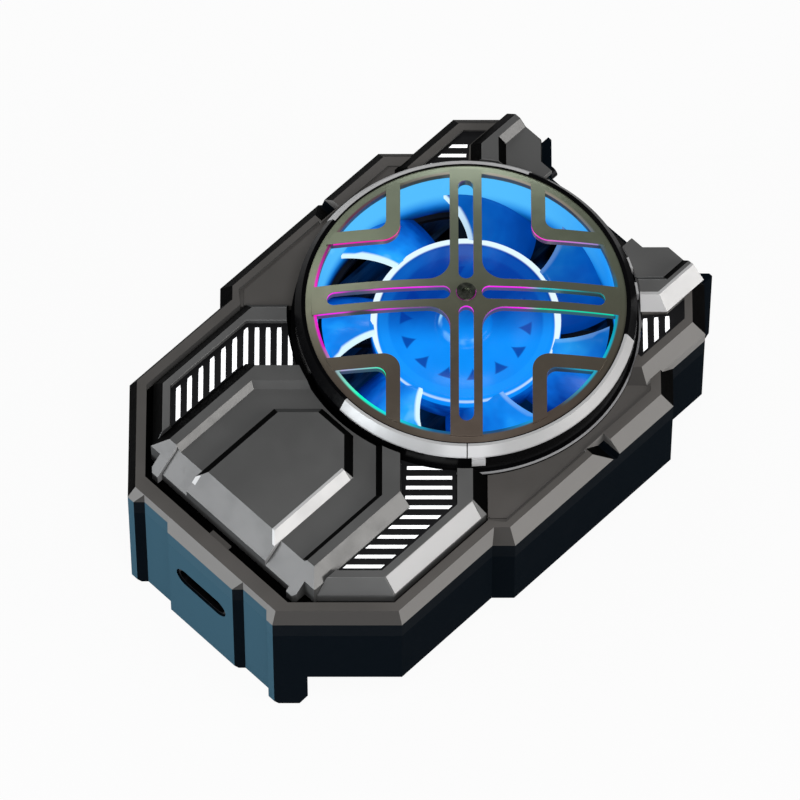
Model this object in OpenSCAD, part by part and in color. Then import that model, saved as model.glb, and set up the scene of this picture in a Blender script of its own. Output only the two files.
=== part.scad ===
// Clip-on cooling fan for a phone.
// The origin is the middle of the cold face that lies on the phone, on the fan axis.
// +X runs from the socket end to the sliding jaw, +Y across the phone, +Z away from it.

/* [Body outline] */
// Fan axis to the front of the socket end
front_x = 50; // [49.5:0.25:56]
// Half width of the flat front of the socket end
front_half = 13.7; // [13.2:0.1:14.5]
// Half width of the body at the shield
shield_half = 25.8; // [25.4:0.1:26.4]
// Half width of the body beside the fan
fan_half = 27.95; // [27.5:0.05:29.5]
// Half width of the body at the far end
far_half = 23.85; // [23.6:0.05:24.6]
// Fan axis to the start of the wide middle section
jog_x = 20.95; // [20:0.05:22]
// Fan axis to the end of the wide middle section
fan_end_x = 11.3; // [10:0.1:12]
// Fan axis to the ends of the two horns
horn_x = 27; // [26.8:0.1:29]
// Half width of the body at the ends of the horns
horn_half = 18.45; // [18:0.05:19]
// Fan axis to the floor of the gap between the horns
gap_x = 24.2; // [24.1:0.05:25]
// Half width of the floor of the gap between the horns
gap_half = 9.5; // [8:0.1:10]

/* [Body heights above the cold face] */
// Underside of the lower housing
base_z = 0.6; // [0.4:0.05:1]
// Joint between the two housings
seam_z = 12.1; // [11:0.1:12.6]
// Foot of the bevel round the top
rim_foot_z = 15.1; // [14.9:0.05:15.4]
// Height of that bevel
rim_h = 2; // [1.8:0.05:2.2]
// Floor of the pocket that holds the shield
deck_z = 15.6; // [15.3:0.05:15.8]
// Top of the raised far end
far_z = 18.75; // [18.4:0.05:19]
// Wall thickness of the housings
wall = 1.6; // [1.2:0.1:1.8]
// Thickness of the pocket floor and of the lower housing's floor
floor_t = 1.5; // [1.2:0.1:1.8]

/* [Bevels] */
// Width of the top bevel at the shield
shield_bevel = 1.05; // [0.8:0.05:1.3]
// Width of the top bevel beside the fan
fan_bevel = 1.7; // [1.4:0.05:2]
// Width of the top bevel at the far end
far_bevel = 1.75; // [1.4:0.05:2]
// Depth of the sunk panels in the socket end
panel_sink = 1.05; // [0.6:0.05:1.3]

/* [Shield] */
// Front foot of the shield
shield_x = 45.1; // [44.6:0.1:45.6]
// Height of the shield's flat
shield_z = 20.15; // [19.8:0.05:20.5]
// Height of the ridge above that flat
ridge_h = 0.85; // [0.6:0.05:1.1]
// Height of the cap above that flat
cap_h = 1.2; // [0.9:0.05:1.5]
// Half width of the shield over its ridges
ridge_half = 13.64; // [13.4:0.04:13.9]
// Width of the ridge's top
ridge_w = 1.2; // [0.9:0.05:1.4]
// Half width of the cap's top
cap_half = 6.24; // [5.5:0.02:7]
// Start of the shield's slanted rear corners
shield_rear_x = 26.1; // [25.6:0.1:26.6]

/* [Vents] */
// Top of the vent frames
frame_z = 19.9; // [19.6:0.05:20.2]
// Top of the slotted vent panels
vent_z = 19.2; // [18.9:0.05:19.4]
// Thickness of the slotted panels
vent_t = 0.8; // [0.6:0.05:1]
// Distance between neighbouring slots
slot_pitch = 1.49; // [1.3:0.01:1.8]
// Width of one slot
slot_w = 0.62; // [0.5:0.02:0.8]
// Slots in each near vent
near_slots = 11; // [6:1:11]
// Slots in each far vent
far_slots = 3; // [1:1:3]

/* [Horns] */
// Flat of the horns
horn_flat_z = 19.7; // [19.4:0.05:20]
// Ridge of the horns
horn_ridge_z = 20.95; // [20.6:0.05:21.3]

/* [Fan collar and grille] */
// Inner radius of the air duct
duct_r = 20; // [19.6:0.05:20.1]
// Thickness of the collar's wall
collar_wall = 2.95; // [2.7:0.05:3.1]
// Height of the flat that the flange lies on
flange_seat_z = 16.8; // [16.6:0.05:16.9]
// Top of the collar
collar_z = 22.5; // [22:0.1:23]
// Rise of the domed grille at its middle
grille_rise = 2.7; // [1.8:0.1:3.2]
// Thickness of the grille
grille_t = 1.2; // [1:0.1:1.4]
// Width of the cross arms
arm_w = 4.3; // [3.8:0.1:5]
// Width of the long slot in each arm
arm_slot_w = 2; // [1.4:0.1:2.4]
// Distance from the arms to the corner brackets' inner edges
bracket_in = 8.8; // [8:0.1:9.4]
// Width of the corner brackets
bracket_w = 1.9; // [1.5:0.1:2.2]
// Radius of the screw head at the middle of the grille
cap_screw_r = 1.3; // [1.1:0.05:1.5]

/* [Fan rotor] */
// Gap between the blades' tips and the duct
tip_gap = 0.7; // [0.6:0.05:1.2]
// Outer radius of the hub
hub_r = 12.8; // [11:0.1:12.9]
// Number of blades
blades = 7; // [5:1:9]
// Underside of the rotor
rotor_z = 13.6; // [13.4:0.1:14]
// Height of the hub
hub_h = 4.4; // [4:0.1:4.8]
// Radius of the fan shaft
shaft_r = 1; // [0.8:0.05:1.2]
// Radial running clearance of the shaft
shaft_fit = 0.03; // [0.02:0.01:0.08]

/* [Cooling stack] */
// Side length of the cold plate
plate_w = 38; // [36:0.5:38.5]
// Thickness of the contact pad
pad_t = 0.8; // [0.5:0.1:1]
// Thickness of the cold plate
plate_t = 2.2; // [2:0.1:2.4]
// Side length of the Peltier module
peltier_w = 23; // [20:0.5:23.5]
// Thickness of the Peltier module
peltier_t = 3.6; // [3.5:0.05:3.8]
// Side length of the heat sink's base
sink_w = 39.8; // [38.5:0.1:40.2]
// Thickness of the heat sink's base
sink_base_t = 2; // [1.6:0.1:2.4]
// Number of heat sink fins
fins = 13; // [7:1:15]
// Thickness of one fin
fin_t = 0.8; // [0.6:0.05:1]

/* [Jaws] */
// Phone width between the pads with the sliding jaw closed
grip_w = 68; // [64:0.5:69]
// Travel of the sliding jaw
travel = 20; // [12:0.5:22]
// Reach of the jaws below the cold face
jaw_drop = 6.9; // [6:0.1:10]
// Thickness of the jaw pads
jaw_pad_t = 1.2; // [0.8:0.1:1.5]
// Thickness of the fixed jaw
fixed_jaw_t = 3.2; // [2.6:0.1:3.3]
// Fan axis to the outer face of the sliding jaw
jaw_x = 31.8; // [31:0.1:34]
// Half width of the sliding jaw
jaw_half = 15.6; // [15.5:0.05:15.8]
// Top of the sliding jaw's two horns
jaw_z = 10.1; // [9:0.1:11.5]
// Radius of the guide rods
rod_r = 0.9; // [0.8:0.05:0.95]
// Radial running clearance of the guide rods
rod_fit = 0.05; // [0.03:0.01:0.08]

/* [Socket] */
// Width of the socket's opening
port_w = 9; // [8.9:0.05:9.4]
// Height of the socket's opening
port_h = 3.2; // [3.1:0.05:3.4]
// Height of the socket's middle
port_z = 6.3; // [6:0.1:7]
// Depth of the socket
port_d = 7.4; // [6:0.1:8]

/* [Fits] */
// Gap between pieces that stay together
gap = 0.05; // [0.03:0.01:0.1]
// Gap between pieces that move past each other
run = 0.35; // [0.3:0.05:0.5]

/* [Hidden] */

$fn = 64;
eps = 0.01;
far = 60;

rim_z = rim_foot_z + rim_h;
collar_r = duct_r + collar_wall;
flange_r = collar_r + 0.55;
grille_r = duct_r + 1.5;
tip_r = duct_r - tip_gap;
ridge_z = shield_z + ridge_h;
cap_z = shield_z + cap_h;
jaw_bottom = -jaw_drop;

dark = [0.28, 0.28, 0.28];
black = [0.06, 0.06, 0.07];
navy = [0.1, 0.14, 0.19];
silver = [0.86, 0.86, 0.87];
gunmetal = [0.32, 0.31, 0.28];
glow = [0.1, 0.5, 1];
white = [0.97, 0.97, 1];
metal = [0.7, 0.71, 0.73];
green = [0.05, 0.3, 0.16];
copper = [0.75, 0.45, 0.25];

// A mirrored outline from its +Y half, listed from the front to the far end
function both(half) = concat([for (p = half) [p[0], -p[1]]],
    [for (i = [len(half) - 1 : -1 : 0]) half[i]]);

// Inward normal of the edge from a to b of a counter-clockwise outline
function inward(a, b) = let (u = (b - a) / norm(b - a)) [-u[1], u[0]];

// An outline whose edges all move inwards by d; edge i starts at point i
function inset(p, d) = inset_by(p, [for (q = p) d]);

// The same with one distance for each edge
function inset_by(p, d) = let (n = len(p)) [for (i = [0 : n - 1])
    let (h = (i + n - 1) % n, a = inward(p[h], p[i]), b = inward(p[i], p[(i + 1) % n]),
        det = a[0] * b[1] - a[1] * b[0])
    p[i] + [d[h] * b[1] - d[i] * a[1], a[0] * d[i] - b[0] * d[h]] / det];

// A straight-sided solid from the outline low at z0 to the outline high at z1
module loft(low, high, z0, z1) {
    n = len(low);
    polyhedron(
        points = concat([for (q = low) [q[0], q[1], z0]], [for (q = high) [q[0], q[1], z1]]),
        faces = concat([[for (i = [0 : n - 1]) i]], [[for (i = [n - 1 : -1 : 0]) n + i]],
            [for (i = [0 : n - 1]) let (j = (i + 1) % n) [i, n + i, n + j, j]]));
}

// Cuts a bevel of width w along the edge from a to b of a counter-clockwise outline
module edge_cut(a, b, w, z0, z1) {
    lean = w / (z1 - z0);
    along = norm(b - a);
    translate([a[0], a[1], 0])
        rotate([0, 0, atan2(b[1] - a[1], b[0] - a[0])])
            sweep_x([
                [-lean, z0 - 1],
                [w + lean, z1 + 1],
                [-6, z1 + 1],
                [-6, z0 - 1]], -6, along + 6);
}

module slab(outline, z0, z1) {
    translate([0, 0, z0])
        linear_extrude(height = z1 - z0)
            polygon(outline);
}

module disc(r, z0, z1) {
    translate([0, 0, z0])
        cylinder(r = r, h = z1 - z0);
}

module tube(r_in, r_out, z0, z1) {
    difference() {
        disc(r_out, z0, z1);
        disc(r_in, z0 - 1, z1 + 1);
    }
}

// A profile in the X and Z plane, swept across Y from y0 to y1
module sweep_y(profile, y0, y1) {
    translate([0, y1, 0])
        rotate([90, 0, 0])
            linear_extrude(height = y1 - y0)
                polygon(profile);
}

// A profile in the Y and Z plane, swept along X from x0 to x1
module sweep_x(profile, x0, x1) {
    translate([x0, 0, 0])
        rotate([90, 0, 90])
            linear_extrude(height = x1 - x0)
                polygon(profile);
}

module rod_x(x0, x1, y, z, r) {
    translate([x0, y, z])
        rotate([0, 90, 0])
            cylinder(r = r, h = x1 - x0);
}

module box(lo, hi) {
    translate(lo)
        cube(hi - lo);
}

// Draws its children and their mirror image across the middle
module pair() {
    children();
    mirror([0, 1, 0])
        children();
}

// Outlines of the body, all seen from above
chamfer = shield_half - front_half;
body_half = [
    [-front_x, front_half],
    [-front_x + chamfer, shield_half],
    [-jog_x, shield_half],
    [-jog_x + fan_half - shield_half, fan_half],
    [fan_end_x, fan_half],
    [fan_end_x + fan_half - far_half, far_half],
    [horn_x - far_half + horn_half, far_half],
    [horn_x, horn_half],
    [horn_x, gap_half + horn_x - gap_x],
    [gap_x, gap_half]];
body_outline = both(body_half);
inner_outline = inset(body_outline, wall);

near_outline = both([
    [-front_x, front_half],
    [-front_x + chamfer, shield_half],
    [-jog_x + 4, shield_half]]);
mid_outline = both([
    [-jog_x - 1.05, shield_half - 1.05],
    [-jog_x + fan_half - shield_half, fan_half],
    [fan_end_x, fan_half],
    [fan_end_x + fan_half - far_half, far_half]]);
step_line = 13.5;
far_outline = both([
    [-step_line + 10.35, 10.35],
    [far_half - step_line, far_half],
    [horn_x - far_half + horn_half, far_half],
    [horn_x, horn_half],
    [horn_x, gap_half + horn_x - gap_x],
    [gap_x, gap_half]]);
far_foot_z = far_z - 1.95;

// Pocket for the shield and the vent frames
rim_w = 1.3;
rim_front_w = 2.05;
pocket_half = shield_half - shield_bevel - rim_w;
pocket_x = front_x - shield_bevel - rim_front_w;
pocket_diag = front_x + front_half - (shield_bevel + rim_w) * sqrt(2);
rear_diag = 4;
pocket_outline = both([
    [-pocket_x, pocket_diag - pocket_x],
    [pocket_half - pocket_diag, pocket_half],
    [rear_diag - pocket_half, pocket_half],
    [rear_diag - 2, 2]]);

// Depth of the bright strips
accent_t = 0.4;

// Block round the socket and the ribs at the corners of the socket end
block_half = 6.1;
rib_w = 1.1;

// Gap between the panel inside the fine groove and the bevel, and how far it is sunk
plateau_in = fan_bevel + 1.4;
plateau_sink = 0.3;

module sunk_panels() {
    pair()
        slab([
            [-front_x - 1, block_half - 1],
            [-front_x + panel_sink, block_half + panel_sink],
            [-front_x + panel_sink, front_half - rib_w - panel_sink],
            [-front_x - 1, front_half - rib_w + 1]],
            jaw_bottom - 1, rim_z + 1);
}

// Screw positions that join the housings
post_spots = [[-34.5, 19.5], [-34.5, -19.5], [22.9, 19], [22.9, -19]];
post_r = 2.4;
screw_r = 0.8;
screw_head_r = 1.6;
screw_head_h = 1.2;

// Board and socket
board_t = 1.2;
board_top = port_z - port_h / 2 - 0.35;
board_x0 = -front_x + 3.6;
board_x1 = -27;
board_half = 14.4;
board_spots = [[board_x0 + 3.2, 12.3], [board_x0 + 3.2, -12.3], [board_x1 - 3, 12.3],
    [board_x1 - 3, -12.3]];
floor_z = base_z + floor_t;

// Guide rods, bushes and springs, in the space between the cold plate and the heat sink
plate_top = pad_t + plate_t;
rod_z = plate_top + peltier_t / 2;
bush_r = 1.5;
jaw_in_x = -front_x + fixed_jaw_t + jaw_pad_t + grip_w;
spring_solid = 5;
bush_x = horn_x - wall - 3;
bush_end_x = horn_x - 0.7;
rod_head_x = bush_x - travel - spring_solid;
rod_head_t = 1;
rod_head_r = 1.4;
spring_clear = 0.7;
rod_y = peltier_w / 2 + spring_clear + rod_head_r;

module port_hole(extra) {
    half = port_w / 2 + extra;
    r = port_h / 2 + extra;
    pair()
        rod_x(-front_x - 2, -front_x + port_d + 2, half - r, port_z, r);
    box([-front_x - 2, -(half - r), port_z - r], [-front_x + port_d + 2, half - r, port_z + r]);
}

module lower_housing() {
    color(navy)
    difference() {
        union() {
            difference() {
                slab(body_outline, base_z, seam_z);
                slab(inner_outline, floor_z, seam_z + 1);
            }
            fixed_jaw();
            for (s = post_spots)
                translate([s[0], s[1], 0])
                    disc(post_r, floor_z - eps, seam_z - gap);
            for (s = board_spots)
                translate([s[0], s[1], 0])
                    disc(1.8, floor_z - eps, board_top - board_t);
            pair()
                box([bush_x, rod_y - bush_r - 1, floor_z - eps],
                    [horn_x - wall + eps, rod_y + bush_r + 1, rod_z + bush_r + 1]);
            // Seat behind the front wall that holds the socket
            box([-front_x + wall - eps, -port_w / 2 - 1.2, floor_z - eps],
                [board_x0 - gap, port_w / 2 + 1.2, port_z + port_h / 2 + 1]);
        }
        sunk_panels();
        port_hole(gap + 0.1);
        slab(square_outline(plate_w / 2 + gap), base_z - 1, floor_z + 1);
        pair()
            rod_x(bush_x - 1, horn_x + 1, rod_y, rod_z, bush_r + gap);
        for (s = post_spots)
            translate([s[0], s[1], 0]) {
                disc(screw_r + gap, base_z - 1, seam_z + 1);
                disc(screw_head_r + 0.1, base_z - 1, base_z + screw_head_h + 0.2);
            }
        for (s = board_spots)
            translate([s[0], s[1], 0])
                disc(screw_r + gap, floor_z + 0.3, board_top + 1);
    }
}

function square_outline(h) = [[-h, -h], [h, -h], [h, h], [-h, h]];

module fixed_jaw() {
    jaw_taper = 0.8;
    intersection() {
        slab(both([
            [-front_x, front_half],
            [-front_x + fixed_jaw_t, front_half + fixed_jaw_t]]), jaw_bottom, base_z + 1);
        sweep_y([
            [-front_x, base_z + 1],
            [-front_x, jaw_bottom + 0.6],
            [-front_x + 0.4, jaw_bottom],
            [-front_x + fixed_jaw_t - jaw_taper, jaw_bottom],
            [-front_x + fixed_jaw_t, jaw_bottom + 2.2],
            [-front_x + fixed_jaw_t, base_z + 1]], -far, far);
    }
}

module upper_housing() {
    color(dark)
    difference() {
        union() {
            difference() {
                union() {
                    slab(body_outline, seam_z, rim_foot_z);
                    loft(near_outline, inset(near_outline, shield_bevel), rim_foot_z, rim_z);
                    loft(mid_outline, inset(mid_outline, fan_bevel), rim_foot_z, rim_z);
                }
                slab(inset(mid_outline, plateau_in), rim_z - plateau_sink, rim_z + 1);
                rim_groove();
                side_notch();
            }
            slab(far_outline, rim_foot_z, far_foot_z);
            loft(far_outline, inset(far_outline, far_bevel), far_foot_z, far_z);
        }
        slab(inset(body_outline, wall), seam_z - 1, deck_z - floor_t);
        slab(pocket_outline, deck_z, rim_z + 1);
        sunk_panels();
        // Barrel of the fan collar and the seat of its flange
        disc(collar_r + gap, seam_z, far_z + 1);
        disc(flange_r + 0.1, flange_seat_z, far_z + 1);
        pair()
            far_window(gap, deck_z - floor_t - 1);
        pair()
            slab(near_light_hole, deck_z - floor_t - 1, deck_z + 1);
    }
    // Posts that take the housing screws
    color(dark)
    for (s = post_spots)
        translate([s[0], s[1], 0])
            tube(screw_r + gap, post_r, seam_z + gap, deck_z - floor_t + eps);
    // Tab that bridges the dark groove at the front
    color(dark)
        box([-pocket_x - eps, -1.7, deck_z - eps], [-pocket_x + 1.1, 1.7, deck_z + 0.4]);
}

// Narrow notch through the bevel beside the fan
module side_notch() {
    pair()
        sweep_y([[-2.9, rim_z + 0.4], [-0.2, rim_foot_z], [0.5, rim_foot_z - 0.8],
            [1, rim_foot_z], [0.85, rim_z + 0.4]], 25, fan_half + 1);
}

// Fine groove between the rim and the flat beside the fan
module rim_groove() {
    out = fan_half - fan_bevel - 0.95;
    in = out - 0.45;
    depth = 0.5;
    lead = 1.75;
    pair()
        slab([
            [-jog_x + 1.3, in - lead],
            [-jog_x + 1.9, in - lead],
            [-jog_x + 1.9 + lead, in],
            [-2.7, in],
            [-2.7, out],
            [-jog_x + 1.3 + lead, out]], rim_z - depth, rim_z + 1);
}

// Shield: a flat with a ridge down each side, sloping down at the front
shield_front = shield_x - (shield_z - (rim_z + 0.1));
ridge_tip_x = shield_x + 0.8;
foot_half = ridge_half + 1.86;
foot_z = vent_z - gap;
shield_rear_clear = flange_r + 0.45;
rear_sum = shield_rear_x - ridge_half;
shield_plan = both([
    [-ridge_tip_x, ridge_half - 0.45],
    [-ridge_tip_x + 0.45, ridge_half],
    [-shield_rear_x, ridge_half],
    [-rear_sum - 0.5, 0.5]]);

module shield_blank() {
    drop = rim_z + 0.1;
    // Flat between the ridges
    intersection() {
        slab(shield_plan, deck_z, cap_z);
        sweep_y([
            [-shield_x, deck_z],
            [-shield_x, drop],
            [-shield_front, shield_z],
            [0, shield_z],
            [0, deck_z]], -ridge_half, ridge_half);
    }
    // Ridges, and the slope outside them
    intersection() {
        union() {
            slab(shield_plan, deck_z, ridge_z);
            pair()
                sweep_x([
                    [ridge_half - 1, deck_z],
                    [foot_half, deck_z],
                    [foot_half, foot_z - gap],
                    [ridge_half, ridge_z],
                    [ridge_half - 1, ridge_z]], -ridge_tip_x + 2, -shield_rear_x);
        }
        difference() {
            sweep_y([
                [-ridge_tip_x, deck_z],
                [-ridge_tip_x, drop],
                [-ridge_tip_x + ridge_z - drop, ridge_z],
                [0, ridge_z],
                [0, deck_z]], -far, far);
            // Hollow between the ridges
            loft(hollow_low, hollow_high, shield_z, shield_z + ridge_h + 0.1);
            box([-far, -ridge_half + ridge_w + 0.3, deck_z - 1],
                [-shield_front, ridge_half - ridge_w - 0.3, far]);
        }
        slab(both([
            [-front_x, front_half - 0.1],
            [foot_half - bezel_diag, foot_half],
            [0, foot_half]]), deck_z - 1, far);
    }
}

hollow_in = ridge_w + ridge_h + 0.1;
hollow_low = both([
    [-shield_front - 6, ridge_half - hollow_in],
    [-shield_rear_x - 2.4, ridge_half - hollow_in],
    [-shield_rear_x - 2.4 + ridge_half - hollow_in - 0.5, 0.5]]);
hollow_high = inset_by(hollow_low, [-ridge_h - 0.1, -ridge_h - 0.1, 0, -ridge_h - 0.1,
    -ridge_h - 0.1, 0]);

module shield_panel() {
    color(dark)
    difference() {
        shield_blank();
        disc(shield_rear_clear, deck_z - 1, far);
        // Hollow underneath
        slab(both([
            [-shield_front + 1, 10],
            [-shield_rear_x - 3, 10],
            [-shield_rear_x, 4]]), deck_z - 1, shield_z - 1.5);
        cap_blank(gap, -0.3);
    }
}

// Raised cap of the shield
cap_slope = cap_h;
cap_rear_x = 29.2;
cap_tip_x = 25.4;
cap_top = both([
    [-shield_front - 0.1, cap_half],
    [-cap_rear_x, cap_half],
    [-cap_tip_x, cap_half - cap_rear_x + cap_tip_x]]);
cap_low = inset_by(cap_top, [-cap_slope, -cap_slope, -cap_slope, -cap_slope, -cap_slope, -6]);

module cap_blank(extra, sink) {
    intersection() {
        loft(inset(cap_low, -extra), inset(cap_top, -extra), shield_z + sink, cap_z + extra);
        sweep_y([
            [-shield_x - extra, deck_z],
            [-shield_x - extra, rim_z + 0.1 + cap_h],
            [-shield_front - extra, cap_z + extra],
            [0, cap_z + extra],
            [0, deck_z]], -far, far);
    }
}

module shield_cap() {
    color(dark)
    difference() {
        cap_solid();
        cap_accent_zone();
    }
}

module cap_solid() {
    intersection() {
        union() {
            loft(cap_low, cap_top, shield_z, cap_z);
            // Front slope of the cap
            slab(both([
                [-shield_x, cap_half + cap_slope],
                [-shield_front - 0.1, cap_half + cap_slope]]), deck_z, shield_z + eps);
        }
        sweep_y([
            [-shield_x, rim_z + 0.1],
            [-shield_x, rim_z + 0.1 + cap_h],
            [-shield_front, cap_z],
            [0, cap_z],
            [0, shield_z],
            [-shield_front, shield_z]], -far, far);
    }
}

// Zone of the bright strip along the cap's right bevel
module cap_accent_zone() {
    mirror([0, 1, 0])
        sweep_x([
            [cap_half - accent_t, cap_z + 1],
            [cap_half - accent_t, cap_z],
            [cap_half + cap_slope - accent_t, shield_z],
            [cap_half + cap_slope + 2, shield_z],
            [cap_half + cap_slope + 2, cap_z + 1]], -shield_x - 1, -cap_rear_x);
}

module cap_accent() {
    color(silver)
    intersection() {
        cap_solid();
        cap_accent_zone();
    }
}

// Frames round the near vents, one each side of the shield
bezel_foot = pocket_half - 0.7;
bezel_diag = pocket_diag - 1.3;
bezel_inner = foot_half + gap;
bezel_low = [
    [bezel_inner - bezel_diag, bezel_inner],
    [-shield_rear_x - 1.5, bezel_inner],
    [-rear_sum - 9, 9],
    [rear_diag - 9 - 0.2, 9],
    [rear_diag - bezel_foot - 0.2, bezel_foot],
    [bezel_foot - bezel_diag, bezel_foot]];
bezel_z = rim_z + 0.2;
bezel_bevel = 1.83;
bezel_front_bevel = 1.27;
bezel_w = 2.85;
vent_outline = [
    [bezel_inner - bezel_diag + 3.4, bezel_inner],
    [-shield_rear_x + gap, bezel_inner],
    [-shield_rear_x + gap, ridge_half + gap],
    [-rear_sum - 9 + 1.2 * gap, 9],
    [-1.8 - 9, 9],
    [-1.8 - (bezel_foot - bezel_w), bezel_foot - bezel_w],
    [bezel_foot - bezel_w - bezel_diag + 3.4, bezel_foot - bezel_w]];
light_t = 1;

// Hole in the pocket floor that the foot of the light guide fills
light_hole_x = [-31.5, -24];
light_hole_w = 2;
light_hole_in = 1.3;
light_hole_out = bezel_foot - bezel_w - light_hole_in;
near_light_hole = [
    [light_hole_x[0], light_hole_out - light_hole_w],
    [light_hole_x[1], light_hole_out - light_hole_w],
    [light_hole_x[1], light_hole_out],
    [light_hole_x[0], light_hole_out]];

module vent_bezel(strip) {
    difference() {
        bezel_blank();
        if (strip)
            bezel_accent_zone();
        slab(vent_outline, deck_z - 1, far);
        slab([[-27.5, 15.4], [-14, 2], [-14, 9.5], [-26, 15.4]], deck_z - 1, far);
        disc(shield_rear_clear, deck_z - 1, far);
        shield_keepout();
    }
}

// Space taken by the shield's sides
module shield_keepout() {
    slab([
        [-ridge_tip_x - 2, 0],
        [-9, 0],
        [-rear_sum - 8 + gap * 2, 8],
        [-shield_rear_x + gap, ridge_half + gap],
        [-shield_rear_x + gap, foot_half + gap],
        [-ridge_tip_x - 2, foot_half + gap]], deck_z - 1, far);
}

// Frame with its three bevels
module bezel_blank() {
    difference() {
        slab(bezel_low, deck_z, frame_z);
        edge_cut(bezel_low[3], bezel_low[4], bezel_bevel, bezel_z, frame_z);
        edge_cut(bezel_low[4], bezel_low[5], bezel_bevel, bezel_z, frame_z);
        edge_cut(bezel_low[5], bezel_low[0], bezel_front_bevel, bezel_z, frame_z);
    }
}

// Zone of the bright strip let into the long outer bevel
module bezel_accent_zone() {
    lip = 0.1;
    lean = bezel_bevel / (frame_z - bezel_z);
    inner = bezel_foot - accent_t;
    sweep_x([
        [inner - lip * lean, bezel_z + lip],
        [bezel_foot + 3, bezel_z + lip],
        [bezel_foot + 3, frame_z - lip],
        [inner - bezel_bevel + lip * lean, frame_z - lip]],
        bezel_low[5][0] + 0.25, bezel_low[4][0] - 1);
}

module bezel_accent() {
    color(silver)
    mirror([0, 1, 0])
        intersection() {
            bezel_blank();
            bezel_accent_zone();
        }
}

module vent_bezel_left() {
    color(dark)
        vent_bezel(false);
}

module vent_bezel_right() {
    color(dark)
        mirror([0, 1, 0])
            vent_bezel(true);
}

// Slots of the near vents: each lies on a 45 degree line, numbered from the front
first_slot = -(front_x + 4.3);
slots_half = bezel_foot - bezel_w - 0.55;
module near_slot_bars(z0, z1, w) {
    step = slot_pitch * sqrt(2);
    intersection() {
        for (i = [0 : near_slots - 1])
            translate([first_slot + i * step, 0, z0])
                rotate([0, 0, 45])
                    translate([0, -w / 2, 0])
                        cube([far, w, z1 - z0]);
        slab([
            [-far, foot_half + 0.25],
            [-shield_rear_x - 1.3, foot_half + 0.25],
            [-rear_sum - 8 + 1.6, 8],
            [-2.7 - 8, 8],
            [-2.7 - slots_half, slots_half],
            [-far, slots_half]], z0 - 1, z1 + 1);
        disc(far, z0, z1);
    }
}

module vent_grille() {
    difference() {
        slab(inset(vent_outline, gap), vent_z - vent_t, vent_z);
        near_slot_bars(vent_z - vent_t - 1, vent_z + 1, slot_w);
        disc(shield_rear_clear, deck_z - 1, far);
    }
}

module vent_grille_left() {
    color(black)
        vent_grille();
}

module vent_grille_right() {
    color(black)
        mirror([0, 1, 0])
            vent_grille();
}

module light_guide() {
    top = vent_z - vent_t - gap;
    difference() {
        union() {
            slab(inset(vent_outline, gap), top - light_t, top);
            near_slot_bars(top - eps, vent_z - 0.1, slot_w - 2 * gap);
            slab(inset(near_light_hole, gap), deck_z - floor_t + 0.2, top - light_t + eps);
        }
        disc(shield_rear_clear, deck_z - 3, far);
        shield_keepout();
    }
}

module light_guide_left() {
    color(white)
        light_guide();
}

module light_guide_right() {
    color(white)
        mirror([0, 1, 0])
            light_guide();
}

// Window of the far vent, between the horn and the far rim
horn_foot = horn_half + 0.12;
horn_kink = 1;
window_x = fan_end_x + 0.9;
window_half = far_half - far_bevel - 1.2;
far_slot_x = horn_x + 7;
window_sum = horn_x + horn_half - 4.05;
module far_window(extra, z0) {
    slab([
        [window_x - extra, window_half + extra],
        [window_x - extra, 16],
        [16.5, 16],
        [horn_foot + horn_kink - 0.1, horn_foot + 0.1 - extra],
        [window_sum - horn_foot + extra, horn_foot + 0.1 - extra],
        [window_sum - window_half + extra, window_half + extra]], z0, far);
}

module far_slot_bars(z0, z1, w) {
    step = slot_pitch * sqrt(2);
    intersection() {
        for (i = [0 : far_slots - 1])
            translate([far_slot_x + i * step, 0, z0])
                rotate([0, 0, 135])
                    translate([0, -w / 2, 0])
                        cube([far, w, z1 - z0]);
        slab([
            [16.9 - 0.1, 16.9],
            [horn_foot + horn_kink, horn_foot + 0.5],
            [30, horn_foot + 0.5],
            [30, window_half - 0.4],
            [10, window_half - 0.4]], z0 - 1, z1 + 1);
    }
}

far_vent_z = far_z - 0.35;
module far_grille() {
    difference() {
        intersection() {
            far_window(0, far_vent_z - vent_t);
            disc(far, far_vent_z - vent_t, far_vent_z);
        }
        far_slot_bars(far_vent_z - vent_t - 1, far_vent_z + 1, slot_w);
        disc(flange_r + 0.15, deck_z - 1, far);
    }
}

module far_grille_left() {
    color(black)
        far_grille();
}

module far_grille_right() {
    color(black)
        mirror([0, 1, 0])
            far_grille();
}

module far_light() {
    top = far_vent_z - vent_t - gap;
    difference() {
        union() {
            intersection() {
                far_window(0, top - light_t);
                disc(far, top - light_t, top);
            }
            far_slot_bars(top - eps, far_vent_z - 0.1, slot_w - 2 * gap);
        }
        disc(flange_r + 0.15, deck_z - 1, far);
    }
}

module far_light_left() {
    color(white)
        far_light();
}

module far_light_right() {
    color(white)
        mirror([0, 1, 0])
            far_light();
}

// Horns on the far end
horn_low = [
    [8, 7],
    [gap_x, 7],
    [gap_x, gap_half],
    [horn_x - 0.35, gap_half + horn_x - gap_x - 0.35],
    [horn_x - 0.35, horn_foot],
    [horn_foot + horn_kink, horn_foot]];
horn_bevel = 1.77;
horn_high = inset_by(horn_low, [0, 0.2, 0.2, 0.2, horn_bevel, horn_bevel * 0.82]);

module horn_solid() {
    difference() {
        loft(horn_low, horn_high, far_z + gap, horn_ridge_z);
        horn_hollow();
        disc(collar_r + 0.5, deck_z - 1, far);
        slab([[0, 0], [far, 0], [far, gap_half - 2], [0, gap_half - 2]], deck_z, far);
    }
}

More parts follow.
